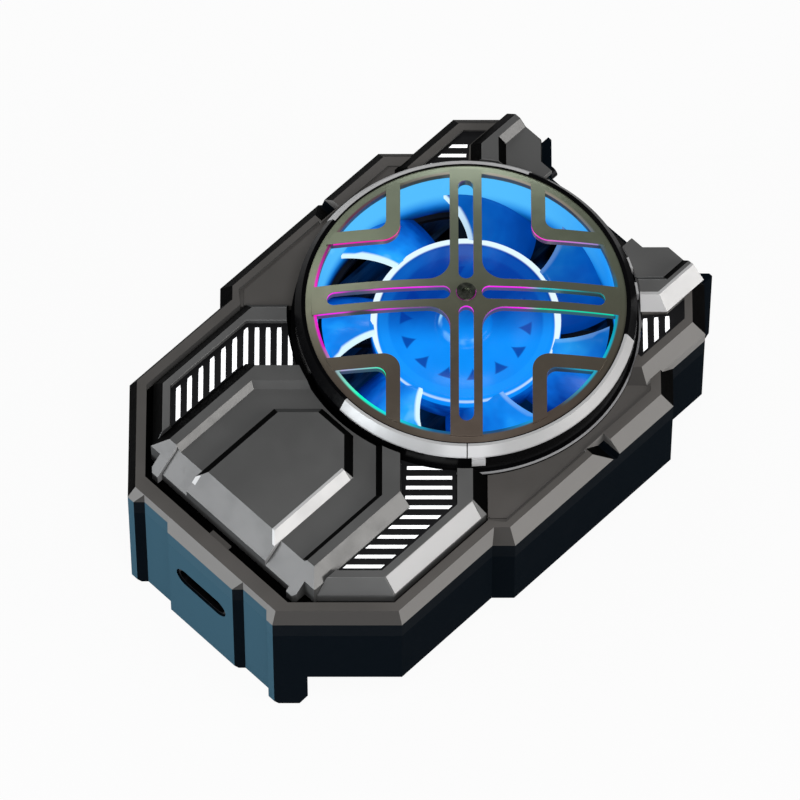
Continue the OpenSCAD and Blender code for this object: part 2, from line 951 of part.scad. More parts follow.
// Flat of the horn, with its sloping inner wall
module horn_hollow() {
    rise = horn_ridge_z - horn_flat_z;
    low = [[-2, -10], [horn_x + 9, -10], [horn_x + 9, 14.87], [22.67, 14.87]];
    loft(low, inset_by(low, [-rise, -rise, -0.8 * rise, -0.8 * rise]), horn_flat_z,
        horn_ridge_z + eps);
}

module horn_accent_zone() {
    t = accent_t;
    inner = inset_by(horn_low, [-9, -9, -9, -9, t, t]);
    inner_high = inset_by(horn_high, [-9, -9, -9, -9, t, t]);
    difference() {
        slab([[horn_foot - 4, horn_foot - 5], [horn_x + 1, horn_foot - 5],
            [horn_x + 1, horn_foot + 1], [horn_foot - 4, horn_foot + 1]], deck_z, far);
        loft(inner, inner_high, far_z, horn_ridge_z + eps);
        slab([[horn_foot - 9, horn_foot - 9], [far, horn_foot - 9], [far, horn_foot - 4.2],
            [horn_foot - 9, horn_foot - 4.2]], deck_z, far);
    }
}

module horn(strip) {
    difference() {
        horn_solid();
        if (strip)
            horn_accent_zone();
    }
}

module horn_left() {
    color(dark)
        horn(false);
}

module horn_right() {
    color(dark)
        mirror([0, 1, 0])
            horn(true);
}

module horn_accent() {
    color(silver)
    mirror([0, 1, 0])
        intersection() {
            horn_solid();
            horn_accent_zone();
        }
}

// Fan collar: barrel, flange and bevelled top
collar_low = 12.9;
bevel_z = collar_z - 1.35;
lip_r = grille_r + gap;

// Strip of small lamps in a groove of the duct, under the grille
led_t = 1;
led_h = 1.2;
led_z = collar_z - 0.9 - 0.8 - led_h;

module fan_collar() {
    color(black)
    difference() {
        rotate_extrude($fn = 128)
            polygon([
                [duct_r, collar_low],
                [collar_r, collar_low],
                [collar_r, flange_seat_z + gap],
                [flange_r, flange_seat_z + gap],
                [flange_r, flange_seat_z + 0.6],
                [collar_r, flange_seat_z + 0.6],
                [collar_r, bevel_z],
                [lip_r + 0.5, collar_z],
                [lip_r, collar_z],
                [lip_r, collar_z - 0.9],
                [duct_r, collar_z - 0.9],
                [duct_r, led_z + led_h + gap],
                [duct_r + led_t + gap, led_z + led_h + gap],
                [duct_r + led_t + gap, led_z - gap],
                [duct_r, led_z - gap]]);
        trim_ring(-gap);
        for (a = clip_angles)
            rotate([0, 0, a])
                clip_block(gap);
    }
}

// Bright trims let into the bevel: a long front pair and a rear one
trim_arcs = [[178, 225], [225.4, 302], [22, 99]];
trim_r = lip_r + 0.15;
trim_z = bevel_z - 0.3;
module trim_ring(shrink) {
    for (a = trim_arcs)
        intersection() {
            rotate_extrude($fn = 128)
                polygon([
                    [trim_r + shrink, collar_z - 0.5 + shrink],
                    [collar_r - 0.75 + shrink, trim_z + shrink],
                    [collar_r + 0.05, trim_z + shrink],
                    [collar_r + 0.05, bevel_z],
                    [lip_r + 0.55, collar_z + 0.02],
                    [trim_r + shrink, collar_z + 0.02]]);
            sector(a[0] + shrink, a[1] - shrink, bevel_z - 2, collar_z + 1);
        }
}

// Wedge of space between two angles, of less than 180 degrees
module sector(a0, a1, z0, z1) {
    mid = (a0 + a1) / 2;
    slab([[0, 0], far * [cos(a0), sin(a0)], far * 1.4 * [cos(mid), sin(mid)],
        far * [cos(a1), sin(a1)]], z0, z1);
}

module collar_trim() {
    color(silver)
        trim_ring(0);
}

// Small bright clips on the collar's wall
clip_angles = [-27, -37, 229];
clip_z = bevel_z - 1.95;
module clip_block(extra) {
    box([collar_r - 0.8 - extra, -0.9 - extra, clip_z - extra],
        [collar_r + 0.35 + extra, 0.9 + extra, clip_z + 1.6 + extra]);
}

module collar_clips() {
    color(silver)
    for (a = clip_angles)
        rotate([0, 0, a])
            clip_block(0);
}

// Domed grille: ring, slotted cross and four corner brackets
dome_r = (grille_r * grille_r + grille_rise * grille_rise) / (2 * grille_rise);
grille_top_z = collar_z + 0.1 + grille_rise;
ring_in_r = duct_r + 0.1;
slot_from = cap_screw_r + 0.8 + arm_slot_w / 2;
slot_to = duct_r - 1.4 - arm_slot_w / 2;
fillet = 3;
bracket_corner_r = 2.4;
screw_stem_r = 0.7;

module corner_square(a, r) {
    translate([a + r, a])
        square(far);
    translate([a, a + r])
        square(far);
    translate([a + r, a + r])
        circle(r = r);
}

// Cross arms and corner brackets, seen from above
module grille_bars() {
    rotate(45) {
        for (a = [0, 90])
            rotate(a)
                square([2 * grille_r + 1, arm_w], center = true);
        difference() {
            square(arm_w + 2 * fillet, center = true);
            for (a = [0 : 90 : 270])
                rotate(a)
                    translate([arm_w / 2 + fillet, arm_w / 2 + fillet])
                        circle(r = fillet);
        }
        for (a = [0 : 90 : 270])
            rotate(a)
                difference() {
                    corner_square(bracket_in, bracket_corner_r);
                    corner_square(bracket_in + bracket_w, bracket_corner_r - 1);
                }
    }
}

// The bars stand a step above the ring and end short of its outer edge
ring_step = 0.25;
bar_end_r = grille_r - 0.8;
ring_z = collar_z - 0.85;

module fan_grille() {
    color(gunmetal)
    difference() {
        union() {
            intersection() {
                tube(ring_in_r, grille_r, ring_z, collar_z + 2, $fn = 128);
                translate([0, 0, grille_top_z - ring_step - dome_r])
                    sphere(r = dome_r, $fn = 200);
            }
            intersection() {
                translate([0, 0, ring_z + 0.05])
                    linear_extrude(height = grille_rise + 3)
                        intersection() {
                            circle(r = bar_end_r, $fn = 128);
                            grille_bars();
                        }
                translate([0, 0, grille_top_z - dome_r])
                    difference() {
                        sphere(r = dome_r, $fn = 200);
                        sphere(r = dome_r - grille_t, $fn = 200);
                    }
            }
        }
        for (a = [45 : 90 : 315])
            rotate([0, 0, a]) {
                translate([slot_from, -arm_slot_w / 2, 0])
                    cube([slot_to - slot_from, arm_slot_w, far]);
                for (x = [slot_from, slot_to])
                    translate([x, 0, 0])
                        cylinder(r = arm_slot_w / 2, h = far);
            }
        disc(cap_screw_r + gap, grille_top_z - 0.5, far);
        disc(screw_stem_r + gap, collar_z, far);
    }
}

module grille_screw() {
    color(metal)
    difference() {
        union() {
            disc(cap_screw_r, grille_top_z - 0.45, grille_top_z + 0.25);
            disc(screw_stem_r, grille_top_z - grille_t - 0.6, grille_top_z - 0.4);
            disc(cap_screw_r, grille_top_z - grille_t - 0.7, grille_top_z - grille_t - 0.1);
        }
        translate([0, 0, grille_top_z - 0.1])
            cylinder(r = 0.65, h = 1, $fn = 6);
    }
}

// Frame that carries the fan's bearing
frame_t = 1.1;
frame_top = rotor_z - run;
frame_z0 = frame_top - frame_t;
bearing_r = 2;

// Fan rotor, turning about a shaft in that bearing
boss_r = 3.4;
boss_z = rotor_z + 0.9;
bearing_top = boss_z - run;
shaft_low = frame_z0 - gap + run;
shaft_top = rotor_z + hub_h - 0.65;
hub_wall = 0.9;
hub_roof = 1;
blade_t = 0.8;
blade_pitch = 26;
magnet_t = 1.2;
magnet_out = hub_r - hub_wall - gap;

module impeller() {
    color(glow)
    difference() {
        union() {
            tube(hub_r - hub_wall, hub_r, rotor_z, rotor_z + hub_h);
            disc(hub_r, rotor_z + hub_h - hub_roof, rotor_z + hub_h - 0.3);
            disc(boss_r, boss_z, rotor_z + hub_h);
            intersection() {
                tube(hub_r - 0.4, tip_r, rotor_z, rotor_z + hub_h + 0.8);
                for (i = [0 : blades - 1])
                    rotate([0, 0, i * 360 / blades])
                        translate([0, 0, rotor_z + hub_h / 2 + 0.3])
                            rotate([blade_pitch, 0, 0])
                                translate([hub_r - 1, -far / 2, -blade_t / 2])
                                    cube([tip_r, far, blade_t]);
            }
        }
        disc(hub_r - hub_wall, rotor_z - 1, rotor_z);
        disc(shaft_r, rotor_z - 1, shaft_top + gap);
    }
}

module magnet_ring() {
    color(black)
        tube(magnet_out - magnet_t, magnet_out, rotor_z + 0.2, rotor_z + hub_h - hub_roof - gap);
}

module fan_shaft() {
    color(metal)
        disc(shaft_r - 0.005, shaft_low, shaft_top);
}

// Bearing tube, stator and the frame that carries them
module shaft_bearing() {
    color(copper)
        tube(shaft_r + shaft_fit, bearing_r, frame_z0, bearing_top);
}

module motor_stator() {
    color(copper)
    intersection() {
        difference() {
            union() {
                disc(4.4, frame_top + gap, rotor_z + hub_h - hub_roof - run);
                for (i = [0 : 5])
                    rotate([0, 0, i * 60])
                        translate([3.8, -0.9, rotor_z + 0.3])
                            cube([5.4, 1.8, 1.6]);
            }
            disc(bearing_r + gap, 0, far);
            disc(boss_r + run, bearing_top, far);
        }
        disc(magnet_out - magnet_t - 0.4, 0, far);
    }
}

module fan_frame() {
    color(black)
    difference() {
        union() {
            tube(duct_r - 0.7, collar_r, frame_z0, collar_low - gap);
            disc(5.5, frame_z0, frame_top);
            intersection() {
                disc(duct_r, frame_z0, frame_top);
                for (i = [0 : 3])
                    rotate([0, 0, 45 + i * 90])
                        box([4, -1, frame_z0], [duct_r + 1, 1, frame_top]);
            }
        }
        disc(bearing_r + gap, 0, far);
        disc(far, frame_top, far);
    }
}

module led_ring() {
    color(white)
        tube(duct_r, duct_r + led_t, led_z, led_z + led_h);
}

// Cooling stack
plate_z = pad_t;
peltier_top = plate_top + peltier_t;
sink_base_top = peltier_top + sink_base_t;
sink_top = frame_z0 - gap;
fin_pitch = (sink_w - 2) / fins;
clamp_in = 2.9;
clamp_at = sink_w / 2 - clamp_in;

module contact_pad() {
    color([0.55, 0.56, 0.6])
        slab(square_outline(plate_w / 2 - 1), 0, pad_t);
}

module cold_plate() {
    color(metal)
    difference() {
        union() {
            slab(square_outline(plate_w / 2), plate_z, plate_top);
            slab(square_outline(plate_w / 2 + 1.3), floor_z + gap, plate_top);
        }
        clamp_holes(0.75, plate_z + 0.5, far);
    }
}

module clamp_holes(r, z0, z1) {
    for (x = [-clamp_at, clamp_at])
        for (y = [-clamp_at, clamp_at])
            translate([x, y, 0])
                disc(r, z0, z1);
}

module peltier_module() {
    color(white)
    union() {
        slab(square_outline(peltier_w / 2), plate_top, plate_top + 0.8);
        slab(square_outline(peltier_w / 2 - 0.6), plate_top + 0.8 - eps, peltier_top - 0.8 + eps);
        slab(square_outline(peltier_w / 2), peltier_top - 0.8, peltier_top);
    }
}

module heat_sink() {
    color(metal)
    difference() {
        union() {
            slab(square_outline(sink_w / 2), peltier_top, sink_base_top);
            intersection() {
                disc(sink_w / 2 - 0.6, sink_base_top - eps, sink_top);
                for (i = [0 : fins - 1])
                    translate([-sink_w / 2, (i - (fins - 1) / 2) * fin_pitch - fin_t / 2,
                        sink_base_top - eps])
                        cube([sink_w, fin_t, sink_top - sink_base_top + eps]);
            }
        }
        clamp_holes(1 + gap, 0, sink_base_top + eps);
        clamp_holes(1.9 + gap, sink_base_top, far);
    }
}

module clamp_screws() {
    color(metal) {
        clamp_holes(0.7, plate_z + 0.8, sink_base_top + 0.1);
        clamp_holes(1.8, sink_base_top, sink_base_top + 1);
    }
}

// Board with the power socket
module circuit_board() {
    color(green)
    difference() {
        union() {
            box([board_x0, -board_half, board_top - board_t], [board_x1, board_half, board_top]);
            box([board_x0 + 9, -4, board_top - eps], [board_x0 + 14, 1, board_top + 1]);
            box([board_x0 + 10, 4, board_top - eps], [board_x0 + 13, 8, board_top + 1.6]);
            translate([board_x1 - 4, 0, 0])
                disc(2.2, board_top - eps, board_top + 4);
        }
        for (s = board_spots)
            translate([s[0], s[1], 0])
                disc(screw_r + gap, 0, far);
    }
}

module usb_port() {
    color(metal)
    difference() {
        union() {
            intersection() {
                port_hole(0);
                box([-front_x + 0.25, -far, 0], [-front_x + port_d, far, far]);
            }
        }
        intersection() {
            port_hole(-0.3);
            box([-front_x - 1, -far, 0], [-front_x + port_d - 1, far, far]);
        }
    }
    // Tongue inside the socket
    color(black)
        box([-front_x + 1.4, -3.3, port_z - 0.35], [-front_x + port_d - 0.5, 3.3, port_z + 0.35]);
    // Feet on the board
    color(metal)
    pair()
        box([board_x0 + 0.2, port_w / 2 - 1.9, board_top], [board_x0 + 2.4, port_w / 2 - 1.5,
            port_z - port_h / 2 + 0.1]);
}

// Screw from below, with its head at head_z
module screw(x, y, head_z, z1) {
    translate([x, y, 0])
        difference() {
            union() {
                disc(screw_r, head_z + 1, z1);
                disc(screw_head_r, head_z, head_z + screw_head_h);
            }
            translate([0, 0, head_z - 1])
                cylinder(r = 0.6, h = 1.6, $fn = 6);
        }
}

module board_screws() {
    color(metal)
    for (s = board_spots)
        translate([s[0], s[1], 0]) {
            disc(screw_r, floor_z + 0.5, board_top + eps);
            disc(screw_head_r - 0.1, board_top, board_top + 0.8);
        }
}

// Screws that hold the housings together, from below
module housing_screws() {
    color(metal)
    for (s = post_spots)
        screw(s[0], s[1], base_z + 0.1, deck_z - floor_t - 0.4);
}

// Pads on the two jaws
pad_half = 11;
pad_z0 = jaw_bottom + 1;
pad_z1 = base_z - 0.5;

module fixed_jaw_pad() {
    color(black)
        grip_pad(-front_x + fixed_jaw_t, 1);
}

module sliding_jaw_pad() {
    color(black)
        grip_pad(jaw_in_x + jaw_pad_t, -1);
}

// Ribbed rubber pad whose back lies at x; side is the way its ribs point
module grip_pad(x, side) {
    rib = 0.35;
    translate([x, 0, 0])
        mirror([side < 0 ? 1 : 0, 0, 0]) {
            box([0, -pad_half, pad_z0 + 1.2], [jaw_pad_t - rib, pad_half, pad_z1]);
            for (i = [0 : 2])
                box([0, -pad_half, pad_z0 + 1.4 + i * 1.7],
                    [jaw_pad_t, pad_half, pad_z0 + 2.2 + i * 1.7]);
        }
}

// Sliding jaw: a plate under the body with two horns beyond its end
jaw_plate_z = base_z - run;
jaw_tip = 0.6;

module sliding_jaw() {
    color(navy)
    difference() {
        union() {
            sweep_y([
                [jaw_in_x + jaw_pad_t, jaw_plate_z],
                [jaw_in_x + jaw_pad_t, jaw_bottom + 2.2],
                [jaw_in_x + jaw_pad_t + 0.8, jaw_bottom],
                [jaw_x - 1.6, jaw_bottom],
                [jaw_x, jaw_bottom + 1.6],
                [jaw_x, jaw_plate_z]], -jaw_half, jaw_half);
            pair()
                slab([
                    [horn_x + run, jaw_half - jaw_tip - jaw_x + horn_x + run],
                    [jaw_x, jaw_half - jaw_tip],
                    [jaw_x, jaw_half],
                    [horn_x + run, jaw_half]], jaw_plate_z - eps, jaw_z);
        }
        pair()
            rod_x(horn_x, jaw_x - 1, rod_y, rod_z, rod_r + gap);
    }
}

module guide_rods() {
    color(metal)
    pair() {
        rod_x(rod_head_x - rod_head_t, jaw_x - 1 - gap, rod_y, rod_z, rod_r);
        rod_x(rod_head_x - rod_head_t, rod_head_x, rod_y, rod_z, rod_head_r);
    }
}

module rod_bushes() {
    color(copper)
    pair()
        difference() {
            rod_x(bush_x, bush_end_x, rod_y, rod_z, bush_r);
            rod_x(bush_x - 1, horn_x + 1, rod_y, rod_z, rod_r + rod_fit);
        }
}

// Return springs round the guide rods, between their heads and the bushes
module jaw_springs() {
    color(metal)
    pair()
        difference() {
            rod_x(rod_head_x + gap, bush_x - gap, rod_y, rod_z, rod_head_r);
            rod_x(rod_head_x - 1, bush_x + 1, rod_y, rod_z, rod_r + 0.15);
        }
}

lower_housing();
upper_housing();
shield_panel();
shield_cap();
cap_accent();
vent_bezel_left();
vent_bezel_right();
bezel_accent();
vent_grille_left();
vent_grille_right();
light_guide_left();
light_guide_right();
horn_left();
horn_right();
horn_accent();
far_grille_left();
far_grille_right();
far_light_left();
far_light_right();
fan_collar();
collar_trim();
collar_clips();
fan_grille();
grille_screw();
impeller();
magnet_ring();
fan_shaft();
shaft_bearing();
motor_stator();
fan_frame();
led_ring();
heat_sink();
peltier_module();
cold_plate();
contact_pad();
clamp_screws();
circuit_board();
usb_port();
board_screws();
fixed_jaw_pad();
sliding_jaw();
sliding_jaw_pad();
guide_rods();
jaw_springs();
rod_bushes();
housing_screws();
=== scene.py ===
import math
import bmesh
import bpy
from mathutils import Matrix, Vector


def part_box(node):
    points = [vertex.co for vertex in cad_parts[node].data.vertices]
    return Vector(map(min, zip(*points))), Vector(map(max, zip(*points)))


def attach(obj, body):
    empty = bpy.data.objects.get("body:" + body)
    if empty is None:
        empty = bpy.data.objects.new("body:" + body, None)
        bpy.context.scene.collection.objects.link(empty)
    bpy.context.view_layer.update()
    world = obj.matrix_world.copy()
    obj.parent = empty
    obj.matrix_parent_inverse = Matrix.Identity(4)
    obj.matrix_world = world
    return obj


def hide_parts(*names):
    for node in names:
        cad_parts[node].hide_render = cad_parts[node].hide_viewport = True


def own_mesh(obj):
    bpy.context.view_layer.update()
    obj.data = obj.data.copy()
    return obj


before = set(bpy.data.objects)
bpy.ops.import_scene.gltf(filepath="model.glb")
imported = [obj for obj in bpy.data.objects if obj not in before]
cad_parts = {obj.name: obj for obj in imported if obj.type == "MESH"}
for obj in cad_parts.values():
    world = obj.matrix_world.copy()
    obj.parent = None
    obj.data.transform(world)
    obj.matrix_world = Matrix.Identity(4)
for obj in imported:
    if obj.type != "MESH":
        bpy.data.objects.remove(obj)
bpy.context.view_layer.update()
print("frame loaded:", len(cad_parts), "nodes")

scene = bpy.context.scene
scene.view_settings.view_transform = "Standard"


# Camera at the photograph's angle: long lens, looking down on the fan from the socket end's right corner
camera = {"elevation": 60.2, "azimuth": 45.0, "distance": 1.2035, "lens": 405.0, "sensor": 36, "clipEnd": 10,
          "fanTop": (0, 0, 0.0221), "fanRight": 0.008826, "fanUp": 0.012851}


def placeCamera(s):
    e, a = math.radians(s["elevation"]), math.radians(s["azimuth"])
    towards = Vector((-math.cos(e) * math.cos(a), -math.cos(e) * math.sin(a), math.sin(e)))
    right = Vector((math.sin(a), -math.cos(a), 0))
    up = towards.cross(right)
    aim = Vector(s["fanTop"]) - right * s["fanRight"] - up * s["fanUp"]
    data = bpy.data.cameras.new("studioCamera")
    data.lens = s["lens"]
    data.sensor_width = s["sensor"]
    data.clip_end = s["clipEnd"]
    eye = bpy.data.objects.new("studioCamera", data)
    scene.collection.objects.link(eye)
    turn = Matrix((right, up, towards)).transposed()
    eye.matrix_world = Matrix.Translation(aim + towards * s["distance"]) @ turn.to_4x4()
    scene.camera = eye


placeCamera(camera)


# Soft boxes: direction from the object, distance, size, watts, colour
softBoxes = {
    "keyRight": {"from": (0.40, -0.87, 0.34), "far": 0.75, "size": (0.5, 0.3),
                 "watts": 3.8, "tint": (1.0, 0.98, 0.95)},
    "leftWall": {"from": (-0.87, 0.38, 0.36), "far": 0.75, "size": (0.36, 0.3),
                 "watts": 2.2, "tint": (0.97, 0.98, 1.0)},
    "overhead": {"from": (-0.28, -0.36, 0.89), "far": 0.8, "size": (0.4, 0.4),
                 "watts": 3.6, "tint": (1.0, 1.0, 1.0)},
    "farSide": {"from": (0.12, 0.64, 0.76), "far": 0.8, "size": (0.3, 0.2),
                "watts": 0.45, "tint": (0.97, 1.0, 0.96)},
    "behind": {"from": (0.66, 0.63, 0.40), "far": 0.8, "size": (0.3, 0.15),
               "watts": 1.2, "tint": (0.95, 0.98, 1.0)},
    "lowFront": {"from": (-0.98, 0.18, 0.08), "far": 0.7, "size": (0.3, 0.1),
                 "watts": 1.9, "tint": (0.9, 0.97, 1.0)},
}


def hangSoftBoxes(boxes):
    for name, s in boxes.items():
        light = bpy.data.lights.new(name, "AREA")
        light.shape = "RECTANGLE"
        light.size, light.size_y = s["size"]
        light.energy = s["watts"]
        light.color = s["tint"]
        lamp = bpy.data.objects.new(name, light)
        scene.collection.objects.link(lamp)
        way = Vector(s["from"]).normalized()
        lamp.location = way * s["far"]
        lamp.rotation_euler = way.to_track_quat("Z", "Y").to_euler()
        lamp.visible_camera = False


hangSoftBoxes(softBoxes)
print("camera and soft boxes placed")


# Node helpers
class Tree:
    def __init__(self, tree):
        self.tree = tree

    def add(self, kind, **fields):
        node = self.tree.nodes.new(kind)
        for key, value in fields.items():
            setattr(node, key, value)
        return node

    def join(self, a, b):
        self.tree.links.new(a, b)

    def calc(self, operation, a, b=None, clamp=False):
        node = self.add("ShaderNodeMath", operation=operation, use_clamp=clamp)
        for i, v in enumerate((a, b)):
            if v is None:
                continue
            if isinstance(v, (int, float)):
                node.inputs[i].default_value = v
            else:
                self.join(v, node.inputs[i])
        return node.outputs[0]

    def times(self, first, *others):
        whole = first
        for mask in others:
            whole = self.calc("MULTIPLY", whole, mask)
        return whole

    def fit(self, value, low, high, toLow=0.0, toHigh=1.0, smooth=True):
        node = self.add("ShaderNodeMapRange")
        node.interpolation_type = "SMOOTHSTEP" if smooth else "LINEAR"
        self.join(value, node.inputs[0])
        for i, v in enumerate((low, high, toLow, toHigh)):
            node.inputs[i + 1].default_value = v
        return node.outputs[0]

    def past(self, value, line, soft=0.0001):
        return self.fit(value, line, line + soft)

    def short(self, value, line, soft=0.0001):
        return self.fit(value, line, line + soft, 1, 0)

    def blend(self, mask, a, b):
        node = self.add("ShaderNodeMix", data_type="RGBA")
        fac, first, second = node.inputs[0], node.inputs[6], node.inputs[7]
        for socket, v in ((fac, mask), (first, a), (second, b)):
            if isinstance(v, (int, float)):
                socket.default_value = v
            elif isinstance(v, tuple):
                socket.default_value = (*v[:3], 1)
            else:
                self.join(v, socket)
        return node.outputs[2]

    def noise(self, vector, size, detail=2.0, rough=0.5):
        node = self.add("ShaderNodeTexNoise")
        self.join(vector, node.inputs["Vector"])
        node.inputs["Scale"].default_value = size
        node.inputs["Detail"].default_value = detail
        node.inputs["Roughness"].default_value = rough
        return node.outputs[0]

    def ramp(self, value, stops):
        node = self.add("ShaderNodeValToRGB")
        self.join(value, node.inputs[0])
        element = node.color_ramp.elements
        while len(element) < len(stops):
            element.new(0.5)
        for e, (at, colour) in zip(element, stops):
            e.position = at
            e.color = (*colour, 1)
        return node.outputs[0]

    def stretch(self, vector, scale, turn=0.0):
        node = self.add("ShaderNodeMapping")
        self.join(vector, node.inputs["Vector"])
        node.inputs["Rotation"].default_value = (0, 0, math.radians(turn))
        node.inputs["Scale"].default_value = scale
        return node.outputs[0]

    def parts(self, vector):
        node = self.add("ShaderNodeSeparateXYZ")
        self.join(vector, node.inputs[0])
        return node.outputs

    def flatLength(self, x, y):
        return self.calc("SQRT", self.calc("ADD", self.times(x, x), self.times(y, y)))

    def bump(self, shader, height, strength, depth):
        node = self.add("ShaderNodeBump")
        node.inputs["Strength"].default_value = strength
        node.inputs["Distance"].default_value = depth
        self.join(height, node.inputs["Height"])
        self.join(node.outputs[0], shader.inputs["Normal"])


def addSockets(face, way, kind, names):
    return [face.new_socket(name, in_out=way, socket_type="NodeSocket" + kind) for name in names]


# Moulded surface: fine spark-eroded grain, slow colour drift and handling marks
moulding = {"fineDetail": 3, "drift": {"size": 45, "detail": 3, "rough": 0.6}, "driftBand": (0.35, 0.65),
            "marks": {"size": 220, "detail": 5, "rough": 0.7}, "marksBand": (0.42, 0.68)}


def makeGrainGroup(s):
    group = bpy.data.node_groups.new("mouldedGrain", "ShaderNodeTree")
    addSockets(group.interface, "INPUT", "Vector", ["Vector"])
    addSockets(group.interface, "INPUT", "Float", ["Grain size"])
    addSockets(group.interface, "OUTPUT", "Float", ["Grain", "Drift", "Marks"])
    t = Tree(group)
    into, out = t.add("NodeGroupInput"), t.add("NodeGroupOutput")
    fine = t.add("ShaderNodeTexNoise")
    t.join(into.outputs[0], fine.inputs["Vector"])
    t.join(into.outputs[1], fine.inputs["Scale"])
    fine.inputs["Detail"].default_value = s["fineDetail"]
    drift = t.noise(into.outputs[0], **s["drift"])
    marks = t.noise(into.outputs[0], **s["marks"])
    t.join(fine.outputs[0], out.inputs[0])
    t.join(t.fit(drift, *s["driftBand"]), out.inputs[1])
    t.join(t.fit(marks, *s["marksBand"]), out.inputs[2])
    return group


grainGroup = makeGrainGroup(moulding)


def placeGrain(t, place, size):
    grain = t.add("ShaderNodeGroup", node_tree=grainGroup)
    t.join(place, grain.inputs[0])
    grain.inputs[1].default_value = size
    return grain.outputs


def startMaterial(name):
    material = bpy.data.materials.new(name)
    material.use_nodes = True
    t = Tree(material.node_tree)
    shader = material.node_tree.nodes["Principled BSDF"]
    place = t.add("ShaderNodeTexCoord").outputs["Object"]
    return material, t, shader, place


def facingParts(t):
    return t.parts(t.add("ShaderNodeTexCoord").outputs["Normal"])


# Bands of a face's direction: how far it leans, and whether it faces a side, a corner, an end or up
facings = {"leaning": (0.25, 0.4), "leastTilt": 0.05, "side": (-0.97, -0.86), "corner": (-0.86, -0.76),
           "cornerEnd": (-0.65, -0.55), "far": (0.22, 0.32), "farCorner": (0.15, 0.3), "farCornerShare": 0.35,
           "end": (-0.97, -0.93), "up": (0.93, 0.97), "nearSide": (-0.95, -0.9), "slant": (-0.65, -0.6)}

# Colours and places of the two-tone paint, of the painted shade and of the painted highlights
toneShadeAndHighlightPaint = {"bevelShadeBlack": (0.003, 0.003, 0.003), "pocketShadeBlack": (0.002, 0.002, 0.002),
                "lineSoft": 0.00005, "stripeEnd": -0.0421, "stripeSide": -0.0080,
                "dashAlong": (-0.0441, -0.0430), "dashAcross": (0.0068, 0.0075),
                "facetStart": 0.010, "facetSide": -0.0001}


def facingLightAndShade(t, colour, s):
    # Painted light and shade: sloping faces along the sides and across the corners get colours of their own
    # that stand in for how the light falls on them
    east, north = facingParts(t)[:2]
    tilt = t.flatLength(east, north)
    square = t.calc("DIVIDE", t.calc("MINIMUM", east, north), t.calc("MAXIMUM", tilt, facings["leastTilt"]))
    leaning = t.fit(tilt, *facings["leaning"])
    side = t.times(leaning, t.fit(square, *facings["side"], 1, 0))
    corner = t.times(leaning, t.fit(square, *facings["corner"]), t.fit(square, *facings["cornerEnd"], 1, 0))
    return t.blend(corner, t.blend(side, colour, s["side"]), s["corner"])


def noseHighlightMask(t, along, across, east, north, p):
    # Painted highlight: silver painted down the cap's nose on one side, and a short painted glint on the
    # other
    stripe = t.times(t.fit(north, *facings["nearSide"], 1, 0), t.short(along, p["stripeEnd"]),
                     t.past(across, p["stripeSide"]))
    dash = t.times(t.fit(east, *facings["slant"], 1, 0),
                   t.past(across, p["dashAcross"][0]), t.short(across, p["dashAcross"][1]),
                   t.past(along, p["dashAlong"][0]), t.short(along, p["dashAlong"][1]))
    return t.calc("MAXIMUM", stripe, dash)


def facetHighlightMask(t, along, across, east, p):
    # Painted highlight: silver painted on a facet of the horn on the -Y side
    return t.times(t.fit(east, *facings["slant"], 1, 0), t.past(along, p["facetStart"]),
                   t.short(across, p["facetSide"]))


def toneShadeAndHighlights(t, place, colour, s, p):
    # Bevels that face the far end or the +Y side are painted black, a painted shade, and made to hardly
    # reflect;
    # walls below the rim are near-black, and the end with the socket is a lighter steel blue, a painted
    # highlight;
    # the pocket's floor is painted black, a painted shade. Gives the colour, where it is matt and where it
    # hardly reflects
    along, across, height = t.parts(place)
    east, north, up = facingParts(t)
    # Painted light and shade on sloping faces, by the way they face
    if "side" in s:
        colour = facingLightAndShade(t, colour, s)
    # Painted shade: bevels that face the far end or the +Y side are painted black
    far = t.fit(t.calc("MAXIMUM", east, north), *facings["far"])
    corner = t.fit(t.calc("MINIMUM", east, north), *facings["farCorner"], 1, facings["farCornerShare"])
    black = t.times(far, corner)
    colour = t.blend(black, colour, p["bevelShadeBlack"])
    # Painted highlights on the cap's nose and on the horn's facet
    if s["toneShadeAndHighlights"] == "nose":
        colour = t.blend(noseHighlightMask(t, along, across, east, north, p), colour, s["silver"])
    if s["toneShadeAndHighlights"] == "facet":
        colour = t.blend(facetHighlightMask(t, along, across, east, p), colour, s["silver"])
    if s["toneShadeAndHighlights"] != "walls":
        return colour, far, black
    # Painted highlight: walls facing the end with the socket are painted a lighter steel blue than the
    # near-black walls
    wall = t.blend(t.fit(east, *facings["end"], 1, 0), s["wall"], s["end"])
    below = t.short(height, s["wallTop"], p["lineSoft"])
    # Painted shade: the pocket's floor is painted black
    floor = t.times(t.fit(up, *facings["up"]), t.short(height, s["pocketTop"], p["lineSoft"]))
    colour = t.blend(floor, t.blend(below, colour, wall), p["pocketShadeBlack"])
    matt = t.calc("MAXIMUM", t.calc("MAXIMUM", below, floor), far)
    return colour, matt, t.calc("MAXIMUM", floor, t.times(black, t.calc("SUBTRACT", 1.0, below)))


# What a plastic has unless its own settings say otherwise
plasticDefaults = {"grain": 4200, "metal": 0.0, "bump": 0.25, "depth": 0.00003, "specular": 0.5,
                   "mattGain": 0.55}


